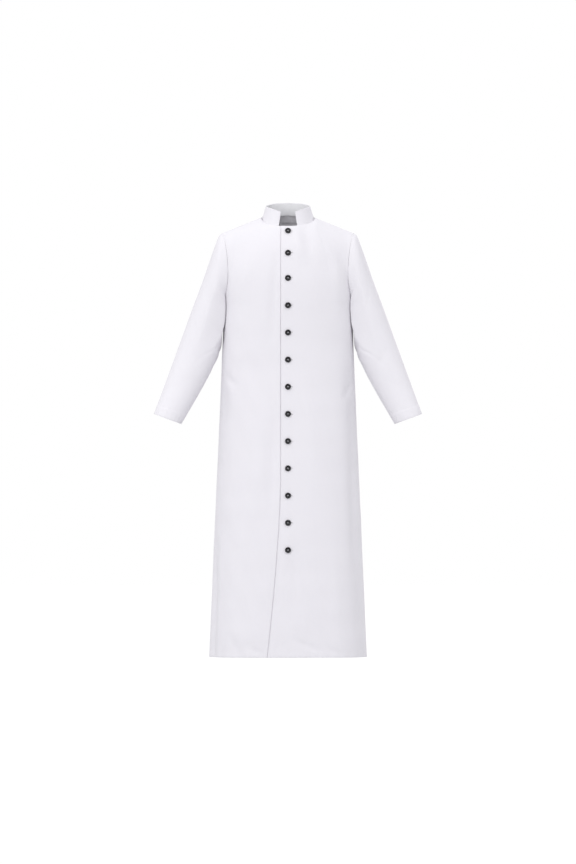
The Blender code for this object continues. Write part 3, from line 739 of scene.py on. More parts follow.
def makeShell(name, sheet, sink, ply, material, insidePaintedLight=None):
    # a closed layer of cloth whose outer face lies sink below the sheet's face, with rounded edges
    grid = sheet["points"]
    normals = sheet["normals"]
    rows, columns = grid.shape[:2]
    isTube = sheet["isTube"]
    middle = (grid - normals * (sink + ply / 2)).reshape(-1, 3)
    flat = normals.reshape(-1, 3)
    uv = sheet["uv"].reshape(-1, 2)
    i, j = np.meshgrid(np.arange(rows - 1), np.arange(columns if isTube else columns - 1), indexing="ij")

    def corners(width, following):
        low = i * width
        high = low + width
        return np.stack([low + j, low + following, high + following, high + j], -1).reshape(-1, 4)

    quads = corners(columns, (j + 1) % columns)
    uvQuads = corners(columns + 1 if isTube else columns, j + 1)

    rims = []
    for places, uvHere, uvNext in edgeLoops(rows, columns, isTube):
        edge = middle[places]
        up = flat[places]
        along = np.roll(edge, -1, axis=0) - np.roll(edge, 1, axis=0)
        out = unit(np.cross(along, up))
        inside = middle.reshape(rows, columns, 3)[
            np.clip(places // columns, 1, rows - 2),
            places % columns if isTube else np.clip(places % columns, 1, columns - 2),
        ]
        out *= np.where(((edge - inside) * out).sum(-1, keepdims=True) < 0, -1.0, 1.0)
        middle[places] = edge - out * (ply / 2)
        rims.append((places, uvHere, uvNext, middle[places], up, out))

    vertices = [middle + flat * (ply / 2), middle - flat * (ply / 2)]
    count = len(middle)
    faces = [quads, quads[:, ::-1] + count]
    faceUv = [uvQuads, uvQuads[:, ::-1]]
    total = 2 * count
    steps = cloth["rimSteps"]
    for places, uvHere, uvNext, edge, up, out in rims:
        rings = [places]
        for step in range(1, steps):
            turn = math.pi * step / steps
            vertices.append(edge + (up * math.cos(turn) + out * math.sin(turn)) * (ply / 2))
            rings.append(np.arange(total, total + len(places)))
            total += len(places)
        rings.append(places + count)
        for low, high in zip(rings, rings[1:]):
            faces.append(np.stack([low, np.roll(low, -1), np.roll(high, -1), high], -1))
            faceUv.append(np.stack([uvHere, uvNext, uvNext, uvHere], -1))

    mesh = bpy.data.meshes.new(name)
    mesh.from_pydata(np.concatenate(vertices).tolist(), [], np.concatenate(faces).tolist())
    layer = mesh.uv_layers.new(name="clothUV")
    layer.data.foreach_set("uv", uv[np.concatenate(faceUv).ravel()].astype(np.float32).ravel())
    faceOutward(mesh)
    mesh.shade_smooth()
    mesh.materials.append(material)
    # when given, the inner faces take a second material, a brighter copy of the cloth that paints light into
    # a shaded inside
    if insidePaintedLight:
        mesh.materials.append(insidePaintedLight)
        for polygon in mesh.polygons[len(quads):2 * len(quads)]:
            polygon.material_index = 1
    return addPiece(name, mesh)


def onSheet(sheet, columns, rows):
    # points and normals on a sheet's outer face, at any columns and rows
    gridColumns = sheet["columns"]
    points = sheet["points"]
    normals = sheet["normals"]
    if sheet["isTube"]:
        gridColumns = np.append(gridColumns, 360.0)
        points = np.concatenate([points, points[:, :1]], axis=1)
        normals = np.concatenate([normals, normals[:, :1]], axis=1)
    j = np.clip(np.searchsorted(gridColumns, columns, side="right") - 1, 0, len(gridColumns) - 2)
    i = np.clip(np.searchsorted(sheet["rows"], rows, side="right") - 1, 0, len(sheet["rows"]) - 2)
    s = ((columns - gridColumns[j]) / (gridColumns[j + 1] - gridColumns[j]))[:, None]
    t = ((rows - sheet["rows"][i]) / (sheet["rows"][i + 1] - sheet["rows"][i]))[:, None]

    def mix(grid):
        low = grid[i, j] * (1 - s) + grid[i, j + 1] * s
        high = grid[i + 1, j] * (1 - s) + grid[i + 1, j + 1] * s
        return low * (1 - t) + high * t

    return mix(points), unit(mix(normals))


def besideEdge(sheet, distance, rows, atLast=True):
    # a path up the sheet that keeps its distance in cloth from the first or last column
    columns = []
    for i in range(len(sheet["rows"])):
        across = sheet["uv"][i, :, 0]
        wanted = across[-1] - distance if atLast else across[0] + distance
        columns.append(np.interp(wanted, across, sheet["columns"]))
    columns = np.interp(rows, sheet["rows"], columns)
    return onSheet(sheet, columns, rows)


def fromBottom(sheet, distance, columns, fromTop=False):
    # a path across the sheet that keeps its distance in cloth from the first or last row
    rows = []
    for j in range(len(sheet["columns"])):
        up = sheet["uv"][:, j, 1]
        wanted = up[-1] - distance if fromTop else up[0] + distance
        rows.append(np.interp(wanted, up, sheet["rows"]))
    if sheet["isTube"]:
        rows = np.interp(columns, np.append(sheet["columns"], 360.0), rows + rows[:1])
    else:
        rows = np.interp(columns, sheet["columns"], rows)
    return onSheet(sheet, columns, rows)


def partOf(sheet, rows=slice(None), columns=slice(None)):
    # a strip of a sheet, with the same places and folds
    isWhole = sheet["isTube"]
    return {
        "columns": sheet["columns"][columns], "rows": sheet["rows"][rows],
        "points": sheet["points"][rows, columns], "normals": sheet["normals"][rows, columns],
        "uv": sheet["uv"][rows] if isWhole else sheet["uv"][rows, columns], "isTube": isWhole,
    }


def joinPieces(name, parts):
    # one piece from several, which are used up
    work = bmesh.new()
    for part in parts:
        work.from_mesh(part.data)
    mesh = meshOf(name, work)
    for material in parts[0].data.materials:
        mesh.materials.append(material)
    for part in parts:
        bpy.data.objects.remove(part)
    return addPiece(name, mesh)


# Nodes

def setInputs(tree, node, given):
    # each input by its name or number: a value, another node's output, or a node for its first output
    for name, value in given.items():
        if isinstance(value, bpy.types.Node):
            value = value.outputs[0]
        if isinstance(value, bpy.types.NodeSocket):
            tree.links.new(value, node.inputs[name])
        else:
            node.inputs[name].default_value = value


def addNode(tree, kind, given=(), **settings):
    node = tree.nodes.new(kind)
    for name, value in settings.items():
        setattr(node, name, value)
    setInputs(tree, node, dict(given))
    return node


def calc(tree, operation, *values):
    return addNode(tree, "ShaderNodeMath", enumerate(values), operation=operation)


# Stitches: one tree for every seam, which lays a small arched stitch along the runs it is given

stitchFaces = {"along": 4, "round": 6}

def stitchTree():
    tree = bpy.data.node_groups.new("stitchRun", "GeometryNodeTree")
    sockets = {"Runs": "Geometry"}
    for name in ("Spacing", "Length", "Thread", "Rise", "Sink", "Turn", "Unevenness"):
        sockets[name] = "Float"
    sockets.update({"Seed": "Int", "Material": "Material"})
    for name, kind in sockets.items():
        tree.interface.new_socket(name, in_out="INPUT", socket_type="NodeSocket" + kind)
    tree.interface.new_socket("Stitches", in_out="OUTPUT", socket_type="NodeSocketGeometry")
    given = tree.nodes.new("NodeGroupInput").outputs

    def vector(x, y, z):
        return addNode(tree, "ShaderNodeCombineXYZ", {"X": x, "Y": y, "Z": z})

    def chance(offset):
        # a random number up to the unevenness either way
        low = calc(tree, "MULTIPLY", given["Unevenness"], -1.0)
        seed = calc(tree, "ADD", given["Seed"], offset)
        node = addNode(tree, "FunctionNodeRandomValue", {2: low, 3: given["Unevenness"], "Seed": seed})
        return node.outputs[1]

    curve = addNode(tree, "GeometryNodeMeshToCurve", {"Mesh": given["Runs"]})
    spots = addNode(tree, "GeometryNodeCurveToPoints", mode="LENGTH")
    setInputs(tree, spots, {"Curve": curve, "Length": given["Spacing"]})
    outward = addNode(tree, "GeometryNodeInputNamedAttribute", {"Name": "outward"}, data_type="FLOAT_VECTOR")
    along = addNode(tree, "FunctionNodeAlignRotationToVector", {"Vector": outward}, axis="Z")
    facing = addNode(tree, "FunctionNodeAlignRotationToVector", axis="X", pivot_axis="Z")
    setInputs(tree, facing, {"Rotation": along, "Vector": spots.outputs["Tangent"]})
    turn = vector(0.0, 0.0, calc(tree, "ADD", given["Turn"], chance(1)))
    twist = addNode(tree, "FunctionNodeEulerToRotation", {"Euler": turn})
    turned = addNode(tree, "FunctionNodeRotateRotation", rotation_space="LOCAL")
    setInputs(tree, turned, {"Rotation": facing, "Rotate By": twist})

    half = calc(tree, "MULTIPLY", given["Length"], 0.5)
    down = calc(tree, "MULTIPLY", given["Sink"], -1.0)
    high = calc(tree, "ADD", calc(tree, "MULTIPLY", given["Rise"], 2.0), given["Sink"])
    arch = addNode(tree, "GeometryNodeCurveQuadraticBezier", {
        "Resolution": stitchFaces["along"],
        "Start": vector(calc(tree, "MULTIPLY", half, -1.0), 0.0, down),
        "Middle": vector(0.0, 0.0, high),
        "End": vector(half, 0.0, down),
    })
    radius = calc(tree, "MULTIPLY", given["Thread"], 0.5)
    ring = addNode(
        tree, "GeometryNodeCurvePrimitiveCircle", {"Resolution": stitchFaces["round"], "Radius": radius}
    )
    thread = addNode(
        tree, "GeometryNodeCurveToMesh", {"Curve": arch, "Profile Curve": ring, "Fill Caps": True}
    )
    size = calc(tree, "ADD", 1.0, chance(2))
    laid = addNode(tree, "GeometryNodeInstanceOnPoints", {
        "Points": spots, "Instance": thread, "Rotation": turned, "Scale": vector(size, 1.0, size),
    })
    real = addNode(tree, "GeometryNodeRealizeInstances", {"Geometry": laid})
    smooth = addNode(tree, "GeometryNodeSetShadeSmooth", {"Geometry": real})
    dyed = addNode(tree, "GeometryNodeSetMaterial", {"Geometry": smooth, "Material": given["Material"]})
    addNode(tree, "NodeGroupOutput", {"Stitches": dyed})
    return tree


def sewRuns(name, tree, runs, settings, material):
    # runs are pairs of points and normals, each a line to sew along
    vertices = np.concatenate([points for points, normals in runs])
    outward = np.concatenate([normals for points, normals in runs])
    edges = []
    start = 0
    for points, _ in runs:
        edges += [(start + k, start + k + 1) for k in range(len(points) - 1)]
        start += len(points)
    mesh = bpy.data.meshes.new(name + "Runs")
    mesh.from_pydata(vertices.tolist(), edges, [])
    layer = mesh.attributes.new("outward", "FLOAT_VECTOR", "POINT")
    layer.data.foreach_set("vector", outward.astype(np.float32).ravel())
    guide = addPiece(name + "Guide", mesh)
    modifier = guide.modifiers.new("sewing", "NODES")
    modifier.node_group = tree
    values = dict(settings, Material=material)
    for socket in tree.interface.items_tree:
        if socket.in_out == "INPUT" and socket.name in values:
            modifier[socket.identifier] = values[socket.name]
    made = meshToPlain(guide)
    made.name = name
    bpy.data.objects.remove(guide)
    print(name, "sewn,", len(made.polygons), "faces")
    return addPiece(name, made)


# Materials

clothFinish = {
    "colour": (0.742, 0.729, 0.762, 1.0),
    "shade": (0.726, 0.712, 0.746, 1.0),
    # a brighter copy of the cloth for the collar's inner faces: painted light that lifts the shade inside the
    # collar
    "insidePaintedLight": (0.895, 0.895, 0.915, 1.0),
    "insidePaintedLightTone": (0.880, 0.880, 0.900, 1.0),
    "roughness": 0.82,
    "gloss": 0.25,
    "sheen": 0.12,
    "sheenRoughness": 0.45,
    "threads": 1900.0,       # to a metre each way
    "weaveDepth": 0.00006,
    "weaveStrength": 0.22,
    "slub": {"scale": 90.0, "detail": 5.0, "roughness": 0.6},
    "nap": {"scale": 5200.0, "detail": 2.0},
    "napShare": 0.6,
}

buttonFinish = {
    "colour": (0.009, 0.009, 0.010, 1.0),
    "shade": (0.013, 0.013, 0.015, 1.0),
    "roughness": 0.16,
    "gloss": 0.30,
    "moulding": {"scale": 260.0, "detail": 3.0},
    "mouldStrength": 0.06,
    "mouldDepth": 0.0004,
    "smoothest": 0.8,       # as shares of the roughness
    "roughest": 1.3,
}

threadFinish = {
    "white": (0.80, 0.79, 0.81, 1.0),
    # dark grey painted shadow for the sliver in each buttonhole's cut
    "slitShadowColour": (0.085, 0.085, 0.09, 1.0),
    "light": (0.52, 0.52, 0.54, 1.0),
    "shade": 0.9,
    "roughness": 0.55,
    "twist": {"scale": 2600.0, "detail": 1.0},
    "twistStrength": 0.35,
    "twistDepth": 0.00008,
}


def newMaterial(name):
    material = bpy.data.materials.new(name)
    material.use_nodes = True
    return material, material.node_tree, material.node_tree.nodes["Principled BSDF"]


def addNoise(tree, scale, detail, roughness=0.5):
    place = addNode(tree, "ShaderNodeTexCoord").outputs["Object"]
    given = {"Vector": place, "Scale": scale, "Detail": detail, "Roughness": roughness}
    return addNode(tree, "ShaderNodeTexNoise", given).outputs["Fac"]


def finishSurface(tree, shader, height, strength, depth, share, first, second):
    # a relief, and a colour that goes from the first to the second
    bump = addNode(tree, "ShaderNodeBump", {"Strength": strength, "Distance": depth, "Height": height})
    tint = addNode(tree, "ShaderNodeMix", data_type="RGBA")
    setInputs(tree, tint, {"Factor": share, "A": first, "B": second})
    setInputs(tree, shader, {"Normal": bump.outputs["Normal"], "Base Color": tint.outputs["Result"]})


def clothMaterial(name, colour, shade):
    # warp and weft are two rows of rounded threads that pass over each other in turn
    finish = clothFinish
    material, tree, shader = newMaterial(name)
    uv = addNode(tree, "ShaderNodeUVMap", uv_map="clothUV")
    scaled = addNode(tree, "ShaderNodeMapping", {"Vector": uv, "Scale": (finish["threads"],) * 3})
    parts = addNode(tree, "ShaderNodeSeparateXYZ", {"Vector": scaled}).outputs
    warp = calc(tree, "SINE", calc(tree, "MULTIPLY", parts["X"], math.pi))
    weft = calc(tree, "SINE", calc(tree, "MULTIPLY", parts["Y"], math.pi))
    crossing = calc(tree, "MULTIPLY", warp, weft)
    warpHeight = calc(tree, "ADD", calc(tree, "ABSOLUTE", warp), crossing)
    weftHeight = calc(tree, "SUBTRACT", calc(tree, "ABSOLUTE", weft), crossing)
    nap = calc(tree, "MULTIPLY", addNoise(tree, **finish["nap"]), finish["napShare"])
    height = calc(tree, "ADD", calc(tree, "MAXIMUM", warpHeight, weftHeight), nap)
    slub = addNoise(tree, **finish["slub"])
    finishSurface(tree, shader, height, finish["weaveStrength"], finish["weaveDepth"], slub, colour, shade)
    setInputs(tree, shader, {
        "Roughness": finish["roughness"], "Specular IOR Level": finish["gloss"],
        "Sheen Weight": finish["sheen"], "Sheen Roughness": finish["sheenRoughness"],
    })
    return material


def threadMaterial(name, colour):
    finish = threadFinish
    material, tree, shader = newMaterial(name)
    twist = addNoise(tree, **finish["twist"])
    shade = tuple(finish["shade"] * c for c in colour[:3]) + (1.0,)
    finishSurface(tree, shader, twist, finish["twistStrength"], finish["twistDepth"], twist, colour, shade)
    shader.inputs["Roughness"].default_value = finish["roughness"]
    return material


def buttonMaterial():
    finish = buttonFinish
    material, tree, shader = newMaterial("blackPolyester")
    mould = addNoise(tree, **finish["moulding"])
    finishSurface(
        tree, shader, mould, finish["mouldStrength"], finish["mouldDepth"],
        mould, finish["colour"], finish["shade"],
    )
    rough = addNode(tree, "ShaderNodeMapRange", {
        "Value": mould, "To Min": finish["roughness"] * finish["smoothest"],
        "To Max": finish["roughness"] * finish["roughest"],
    })
    setInputs(tree, shader, {"Roughness": rough, "Specular IOR Level": finish["gloss"]})
    return material


# Studio

studio = {
    "imageHeight": 864,
    "metresPerPixel": 0.00334,
    "aimZ": -0.718,
    "distance": 40.0,
    "scaleY": -0.065,       # the plane in which a pixel is that long
    "sensor": 36.0,
    "clipEnd": 200.0,
    "floorZ": -1.62,
    "floorSize": 60.0,
    "floorColour": (0.58, 0.58, 0.59, 1.0),
    "floorSeen": 1.05,
    "seenStrength": 1.0,
    "domeColour": (0.985, 0.985, 1.0, 1.0),
    "domeMiddle": 0.925,
    "domeLean": (-0.06, -0.36, 0.30),     # brighter towards the camera, above and to its left
    "lights": {
        "keyLight": {"place": (-2.5, -3.4, 1.7), "size": 1.2, "power": 35.0, "colour": (1.0, 1.0, 0.985)},
        "fillLight": {"place": (3.2, -4.0, -0.6), "size": 2.0, "power": 7.0, "colour": (1.0, 0.97, 1.0)},
        "backLight": {"place": (1.8, 4.2, 1.5), "size": 1.6, "power": 40.0, "colour": (1.0, 1.0, 1.0)},
    },
}


def seenApart(tree, output, plain, seen):
    # the camera sees one shader, and all other rays meet the other
    ray = addNode(tree, "ShaderNodeLightPath").outputs["Is Camera Ray"]
    choice = addNode(tree, "ShaderNodeMixShader", {"Fac": ray, 1: plain, 2: seen})
    setInputs(tree, tree.nodes[output], {"Surface": choice})


def makeStudio():
    scene = bpy.context.scene
    scene.view_settings.view_transform = "Standard"
    lens = bpy.data.cameras.new("camera")
    lens.sensor_width = studio["sensor"]
    lens.lens = studio["sensor"] * studio["distance"] / (studio["imageHeight"] * studio["metresPerPixel"])
    lens.clip_end = studio["clipEnd"]
    camera = addPiece("camera", lens)
    camera.location = (0.0, studio["scaleY"] - studio["distance"], studio["aimZ"])
    camera.rotation_euler = (math.radians(90.0), 0.0, 0.0)
    scene.camera = camera

    # the room shows plain white, and lights the cloth softly from all sides
    world = bpy.data.worlds.new("whiteRoom")
    world.use_nodes = True
    tree = world.node_tree
    seen = tree.nodes["Background"]
    setInputs(tree, seen, {"Color": (1.0, 1.0, 1.0, 1.0), "Strength": studio["seenStrength"]})
    direction = addNode(tree, "ShaderNodeTexCoord").outputs["Generated"]
    lean = addNode(tree, "ShaderNodeVectorMath", operation="DOT_PRODUCT")
    setInputs(tree, lean, {0: direction, 1: studio["domeLean"]})
    strength = calc(tree, "ADD", lean.outputs["Value"], studio["domeMiddle"])
    room = addNode(tree, "ShaderNodeBackground", {"Color": studio["domeColour"], "Strength": strength})
    seenApart(tree, "World Output", room, seen)
    scene.world = world

    for name, light in studio["lights"].items():
        data = bpy.data.lights.new(name, "AREA")
        data.size = light["size"]
        data.energy = light["power"]
        data.color = light["colour"]
        lamp = addPiece(name, data)
        lamp.location = light["place"]
        aim = Vector((0.0, 0.0, studio["aimZ"])) - Vector(light["place"])
        lamp.rotation_euler = aim.to_track_quat("-Z", "Y").to_euler()

    bpy.ops.mesh.primitive_plane_add(size=studio["floorSize"], location=(0.0, 0.0, studio["floorZ"]))
    floor = bpy.context.object
    floor.name = "floor"
    material, tree, shader = newMaterial("paleFloor")
    setInputs(tree, shader, {"Base Color": studio["floorColour"], "Roughness": 1.0})
    glow = addNode(tree, "ShaderNodeEmission", {"Strength": studio["floorSeen"]})
    seenApart(tree, "Material Output", shader, glow)
    floor.data.materials.append(material)


makeStudio()
print("studio ready")

# Cloth

whiteCloth = clothMaterial("whiteSuiting", clothFinish["colour"], clothFinish["shade"])
# the same cloth, whiter: painted light for the shaded inside of the collar
collarInsidePaintedLight = clothMaterial("collarInsidePaintedLight", clothFinish["insidePaintedLight"], clothFinish["insidePaintedLightTone"])

fineness = {
    "lapColumns": 8,         # from the middle of the front to the edge of the lap
    "sideColumns": 76,       # from there to the side seam
    "skirtRows": 160,
    "yokeRows": 64,
    "sleeveTurns": 120,
    "sleeveRows": 104,
    "closerAtArmhole": 1.1,
    "collarColumns": 190,
    "collarRows": 22,
}


def frontPlaces(lowEnd, highEnd, closer=()):
    # closer are extra columns beside the wearer's right edge of the lap, as shares
    lap = np.linspace(0.0, lapShare, fineness["lapColumns"] + 1)
    side = np.linspace(lapShare, 1.0, fineness["sideColumns"] + 1)[1:]
    half = {"lap": lap[1:], "side": np.concatenate([lap[1:], side])}
    return np.unique(np.concatenate([-half[lowEnd], [0.0], half[highEnd], -lapShare - np.array(closer)]))


def panelHeights():
    skirt = np.linspace(0.0, 1.0, fineness["skirtRows"] + 1)
    yoke = np.linspace(1.0, 2.0, fineness["yokeRows"] + 1)[1:]
    return np.concatenate([skirt, yoke])


def turnedEdge(name, sheet, material):
    # a layer turned in behind the outer one, just inside it
    return makeShell(name, sheet, cloth["ply"] + cloth["between"], cloth["turnedPly"], material)


besideLap = (-0.006, -0.003, 0.0015, 0.003, 0.0045, 0.006, 0.008, 0.014)
heights = panelHeights()
sheets = {
    "front_left": bodySheet(-1, frontPlaces("lap", "side"), heights, overLap, frontCreases),
    "front_right": bodySheet(
        -1, frontPlaces("side", "lap", besideLap), heights, onBody, frontCreases,
        onLap=frontCreases["lapGrooveWidth"],
    ),
    "back": bodySheet(1, frontPlaces("side", "side"), heights, onBody, backCreases),
}
turns = np.linspace(0.0, 360.0, fineness["sleeveTurns"] + 1)[:-1]
alongs = np.linspace(0.0, 1.0, fineness["sleeveRows"] + 1) ** fineness["closerAtArmhole"]
sheets["sleeve_left"] = sleeveSheet(1, turns, alongs)
sheets["sleeve_right"] = sleeveSheet(-1, turns, alongs)
sheets["collar"] = collarSheet(
    np.linspace(0.0, 1.0, fineness["collarColumns"] + 1), np.linspace(0.0, 1.0, fineness["collarRows"] + 1)
)

pieceNames = {
    "front_left": "leftFront", "front_right": "rightFront", "back": "backPanel",
    "sleeve_left": "leftSleeve", "sleeve_right": "rightSleeve", "collar": "standCollar",
}
pieces = {}
for node, name in pieceNames.items():
    ply = collarForm["wall"] if node == "collar" else cloth["ply"]
    # the collar's inner faces get the brighter copy of the cloth, painted light in its shaded hollow
    insidePaintedLight = collarInsidePaintedLight if node == "collar" else None
    pieces[node] = makeShell(name, sheets[node], 0.0, ply, whiteCloth, insidePaintedLight)
    print(name, "made,", len(pieces[node].data.polygons), "faces")

# Turned-in cloth: hems, front facings, seam allowances and cuff hems, in steps of the sheets' own grids

turnings = {
    "hemRows": 5,
    "allowanceColumns": 4,
    "facingColumns": 2 * fineness["lapColumns"] + 9,
    "neckRows": 10,
    "cuffRows": 5,
}


def turnIn(node, strips):
    parts = []
    for rows, columns in strips:
        parts.append(turnedEdge(pieceNames[node] + "Strip", partOf(sheets[node], rows, columns), whiteCloth))
    return joinPieces(pieceNames[node] + "Turnings", parts)


hem = slice(0, turnings["hemRows"])
aboveHem = slice(turnings["hemRows"] - 1, None)
facing = turnings["facingColumns"]
allowance = turnings["allowanceColumns"]
neckColumns = fineness["lapColumns"] + round(
    fineness["sideColumns"] * (neckShare - lapShare) / (1.0 - lapShare)
)
middle = fineness["lapColumns"] + fineness["sideColumns"]
turned = {
    "front_left": turnIn("front_left", (
        (slice(None), slice(0, facing)),
        (hem, slice(facing - 1, None)),
        (aboveHem, slice(-allowance, None)),
    )),
    "front_right": turnIn("front_right", (
        (slice(None), slice(-facing - len(besideLap), None)),
        (hem, slice(0, 1 - facing - len(besideLap))),
        (aboveHem, slice(0, allowance)),
    )),
    "back": turnIn("back", (
        (hem, slice(None)),
        (aboveHem, slice(0, allowance)),
        (aboveHem, slice(-allowance, None)),
        (slice(-turnings["neckRows"], None), slice(middle - neckColumns, middle + neckColumns + 1)),
    )),
    "sleeve_left": turnIn("sleeve_left", ((slice(-turnings["cuffRows"], None), slice(None)),)),
    "sleeve_right": turnIn("sleeve_right", ((slice(-turnings["cuffRows"], None), slice(None)),)),
}
print("turned edges made")

# Sewing

whiteThread = threadMaterial("whiteThread", threadFinish["white"])
# a dark material that paints the shadow in the buttonhole cuts
slitShadowPaint = threadMaterial("slitShadowPaint", threadFinish["slitShadowColour"])
sewing = stitchTree()

topStitch = {
    "Spacing": 0.0034, "Length": 0.0029, "Thread": 0.00036, "Rise": 0.00020, "Sink": 0.00016,
    "Turn": 0.0, "Unevenness": 0.05, "Seed": 3,
}
hemPrick = {
    "Spacing": 0.0095, "Length": 0.0013, "Thread": 0.00030, "Rise": 0.00012, "Sink": 0.00014,
    "Turn": 0.5, "Unevenness": 0.20, "Seed": 7,
}
satinStitch = {
    "Spacing": 0.00042, "Length": 0.0019, "Thread": 0.00040, "Rise": 0.00034, "Sink": 0.00016,
    "Turn": math.pi / 2, "Unevenness": 0.05, "Seed": 5,
}
seams = {
    "edge": 0.0024,          # from a finished edge to the line beside it
    "armholeFirst": 0.0022,
    "armholeSecond": 0.0086,
    "cuff": 0.0230,
    "hem": 0.0280,
    "collarEdge": 0.0036,
    "collarBase": 0.0020,
    "collarLength": 0.52,
    "collarHeight": 0.048,
    # where the lines begin and end on their sheets
    "armholeRows": (1.03, 1.985),
    "edgeRows": (0.004, 1.990),
    "skirtEnd": 0.996,
    "lapEnd": 0.004,
    "shoulderStart": 0.01,
    "shoulderEnd": 0.985,
    "collarColumns": (0.004, 0.996),
    "collarBottom": 0.06,
    # points in a line
    "fine": 500,
    "collarFine": 400,
    "frontHemFine": 320,
    "armholeFine": 200,
    "cuffFine": 181,
    "shoulderFine": 80,
    "collarEndFine": 30,
}


def armholeRuns(sheet, atLast):
    rows = np.linspace(*seams["armholeRows"], seams["armholeFine"])
    return [besideEdge(sheet, seams[line], rows, atLast) for line in ("armholeFirst", "armholeSecond")]


def shoulderRun(sheet, side):
    ends = sorted((side * (neckShare + seams["shoulderStart"]), side * seams["shoulderEnd"]))
    return fromBottom(sheet, seams["edge"], np.linspace(*ends, seams["shoulderFine"]), fromTop=True)


def collarRuns(sheet):
    inset = seams["collarEdge"] / seams["collarLength"]
    high = 1.0 - seams["collarEdge"] / seams["collarHeight"]
    columns = np.linspace(inset, 1.0 - inset, seams["collarFine"])
    runs = [fromBottom(sheet, seams["collarEdge"], columns, fromTop=True)]
    base = np.linspace(*seams["collarColumns"], seams["collarFine"])
    runs.append(fromBottom(sheet, seams["collarBase"], base))
    rows = np.linspace(seams["collarBottom"], high, seams["collarEndFine"])
    for atLast in (False, True):
        runs.append(besideEdge(sheet, seams["collarEdge"], rows, atLast))
    return runs


skirtEnd = seams["skirtEnd"]
lapEnd = lapShare - seams["lapEnd"]
skirtColumns = {
    "front_left": np.linspace(-lapEnd, skirtEnd, seams["frontHemFine"]),
    "front_right": np.linspace(-skirtEnd, lapEnd, seams["frontHemFine"]),
    "back": np.linspace(-skirtEnd, skirtEnd, seams["fine"]),
}
edgeRows = np.linspace(*seams["edgeRows"], seams["fine"])
ringTurns = np.linspace(0.0, 360.0, seams["cuffFine"])
seamRuns = {
    "front_left": armholeRuns(sheets["front_left"], True)
    + [besideEdge(sheets["front_left"], seams["edge"], edgeRows, False)]
    + [shoulderRun(sheets["front_left"], 1)],
    "front_right": armholeRuns(sheets["front_right"], False)
    + [besideEdge(sheets["front_right"], seams["edge"], edgeRows, True)]
    + [shoulderRun(sheets["front_right"], -1)],
    "back": armholeRuns(sheets["back"], True) + armholeRuns(sheets["back"], False),
    "sleeve_left": [fromBottom(sheets["sleeve_left"], seams["cuff"], ringTurns, fromTop=True)],
    "sleeve_right": [fromBottom(sheets["sleeve_right"], seams["cuff"], ringTurns, fromTop=True)],
    "collar": collarRuns(sheets["collar"]),
}
sewn = []
for node, runs in seamRuns.items():
    sewn.append(sewRuns(pieceNames[node] + "Stitches", sewing, runs, topStitch, whiteThread))
for node, columns in skirtColumns.items():
    run = fromBottom(sheets[node], seams["hem"], columns)
    sewn.append(sewRuns(pieceNames[node] + "HemPricks", sewing, [run], hemPrick, whiteThread))

# Buttonholes: across the left front, from the button out to the wearer's left

buttonhole = {
    "start": -0.0040,
    "end": 0.0165,
    "halfWidth": 0.0011,
    "slitHalfWidth": 0.00032,
    "slitRise": 0.00012,
    "endSteps": 9,
}


def frontSpot(sheet, across, z):
    # the left front's outer face where its cloth is across from the middle, near a height
    row = np.interp(z, sheet["points"][:, fineness["lapColumns"], 2], sheet["rows"])
    i = int(np.clip(np.searchsorted(sheet["rows"], row), 1, len(sheet["rows"]) - 1))
    columns = np.interp(across, sheet["uv"][i, :, 0], sheet["columns"])
    return onSheet(sheet, np.atleast_1d(columns), np.full(np.size(across), row))


def buttonholeLoop(halfWidth, inset):
    # a long hole with round ends, as places across and up from its button
    across = []
    up = []
    for middle, first in ((buttonhole["end"] - inset, -90.0), (buttonhole["start"] + inset, 90.0)):
        for turn in np.radians(np.linspace(first, first + 180.0, buttonhole["endSteps"])):
            across.append(middle + halfWidth * math.cos(turn))
            up.append(halfWidth * math.sin(turn))
    return np.array(across + across[:1]), np.array(up + up[:1])


leftSheet = sheets["front_left"]
holeRuns = []
slitVertices = []
slitFaces = []
for z in buttonHeights():
    across, up = buttonholeLoop(buttonhole["halfWidth"], buttonhole["halfWidth"])
    points, normals = frontSpot(leftSheet, across, z)
    points = points + np.cross(normals, (1.0, 0.0, 0.0)) * -up[:, None]
    holeRuns.append((points, normals))
    # a thin dark sliver along the middle of each hole: painted shadow in the cut between the stitched edges
    across, up = buttonholeLoop(buttonhole["slitHalfWidth"], buttonhole["halfWidth"])
    points, normals = frontSpot(leftSheet, across[:-1], z)
    points = points + np.cross(normals, (1.0, 0.0, 0.0)) * -up[:-1, None]
    start = len(slitVertices)
    count = len(points)
    for lift in (-buttonhole["slitRise"], buttonhole["slitRise"]):
        slitVertices += (points + normals * lift).tolist()
    slitFaces.append(tuple(range(start + count - 1, start - 1, -1)))
    slitFaces.append(tuple(range(start + count, start + 2 * count)))
    for k in range(count):
        following = (k + 1) % count
        slitFaces.append((start + k, start + following, start + count + following, start + count + k))

slitShadowMesh = bpy.data.meshes.new("buttonholeSlitShadows")
slitShadowMesh.from_pydata(slitVertices, [], slitFaces)
faceOutward(slitShadowMesh)
slitShadowMesh.materials.append(slitShadowPaint)
sewn.append(addPiece("buttonholeSlitShadows", slitShadowMesh))
sewn.append(sewRuns("buttonholeStitches", sewing, holeRuns, satinStitch, whiteThread))

# Buttons: turned black buttons with four holes, sewn through with thread and a wound shank

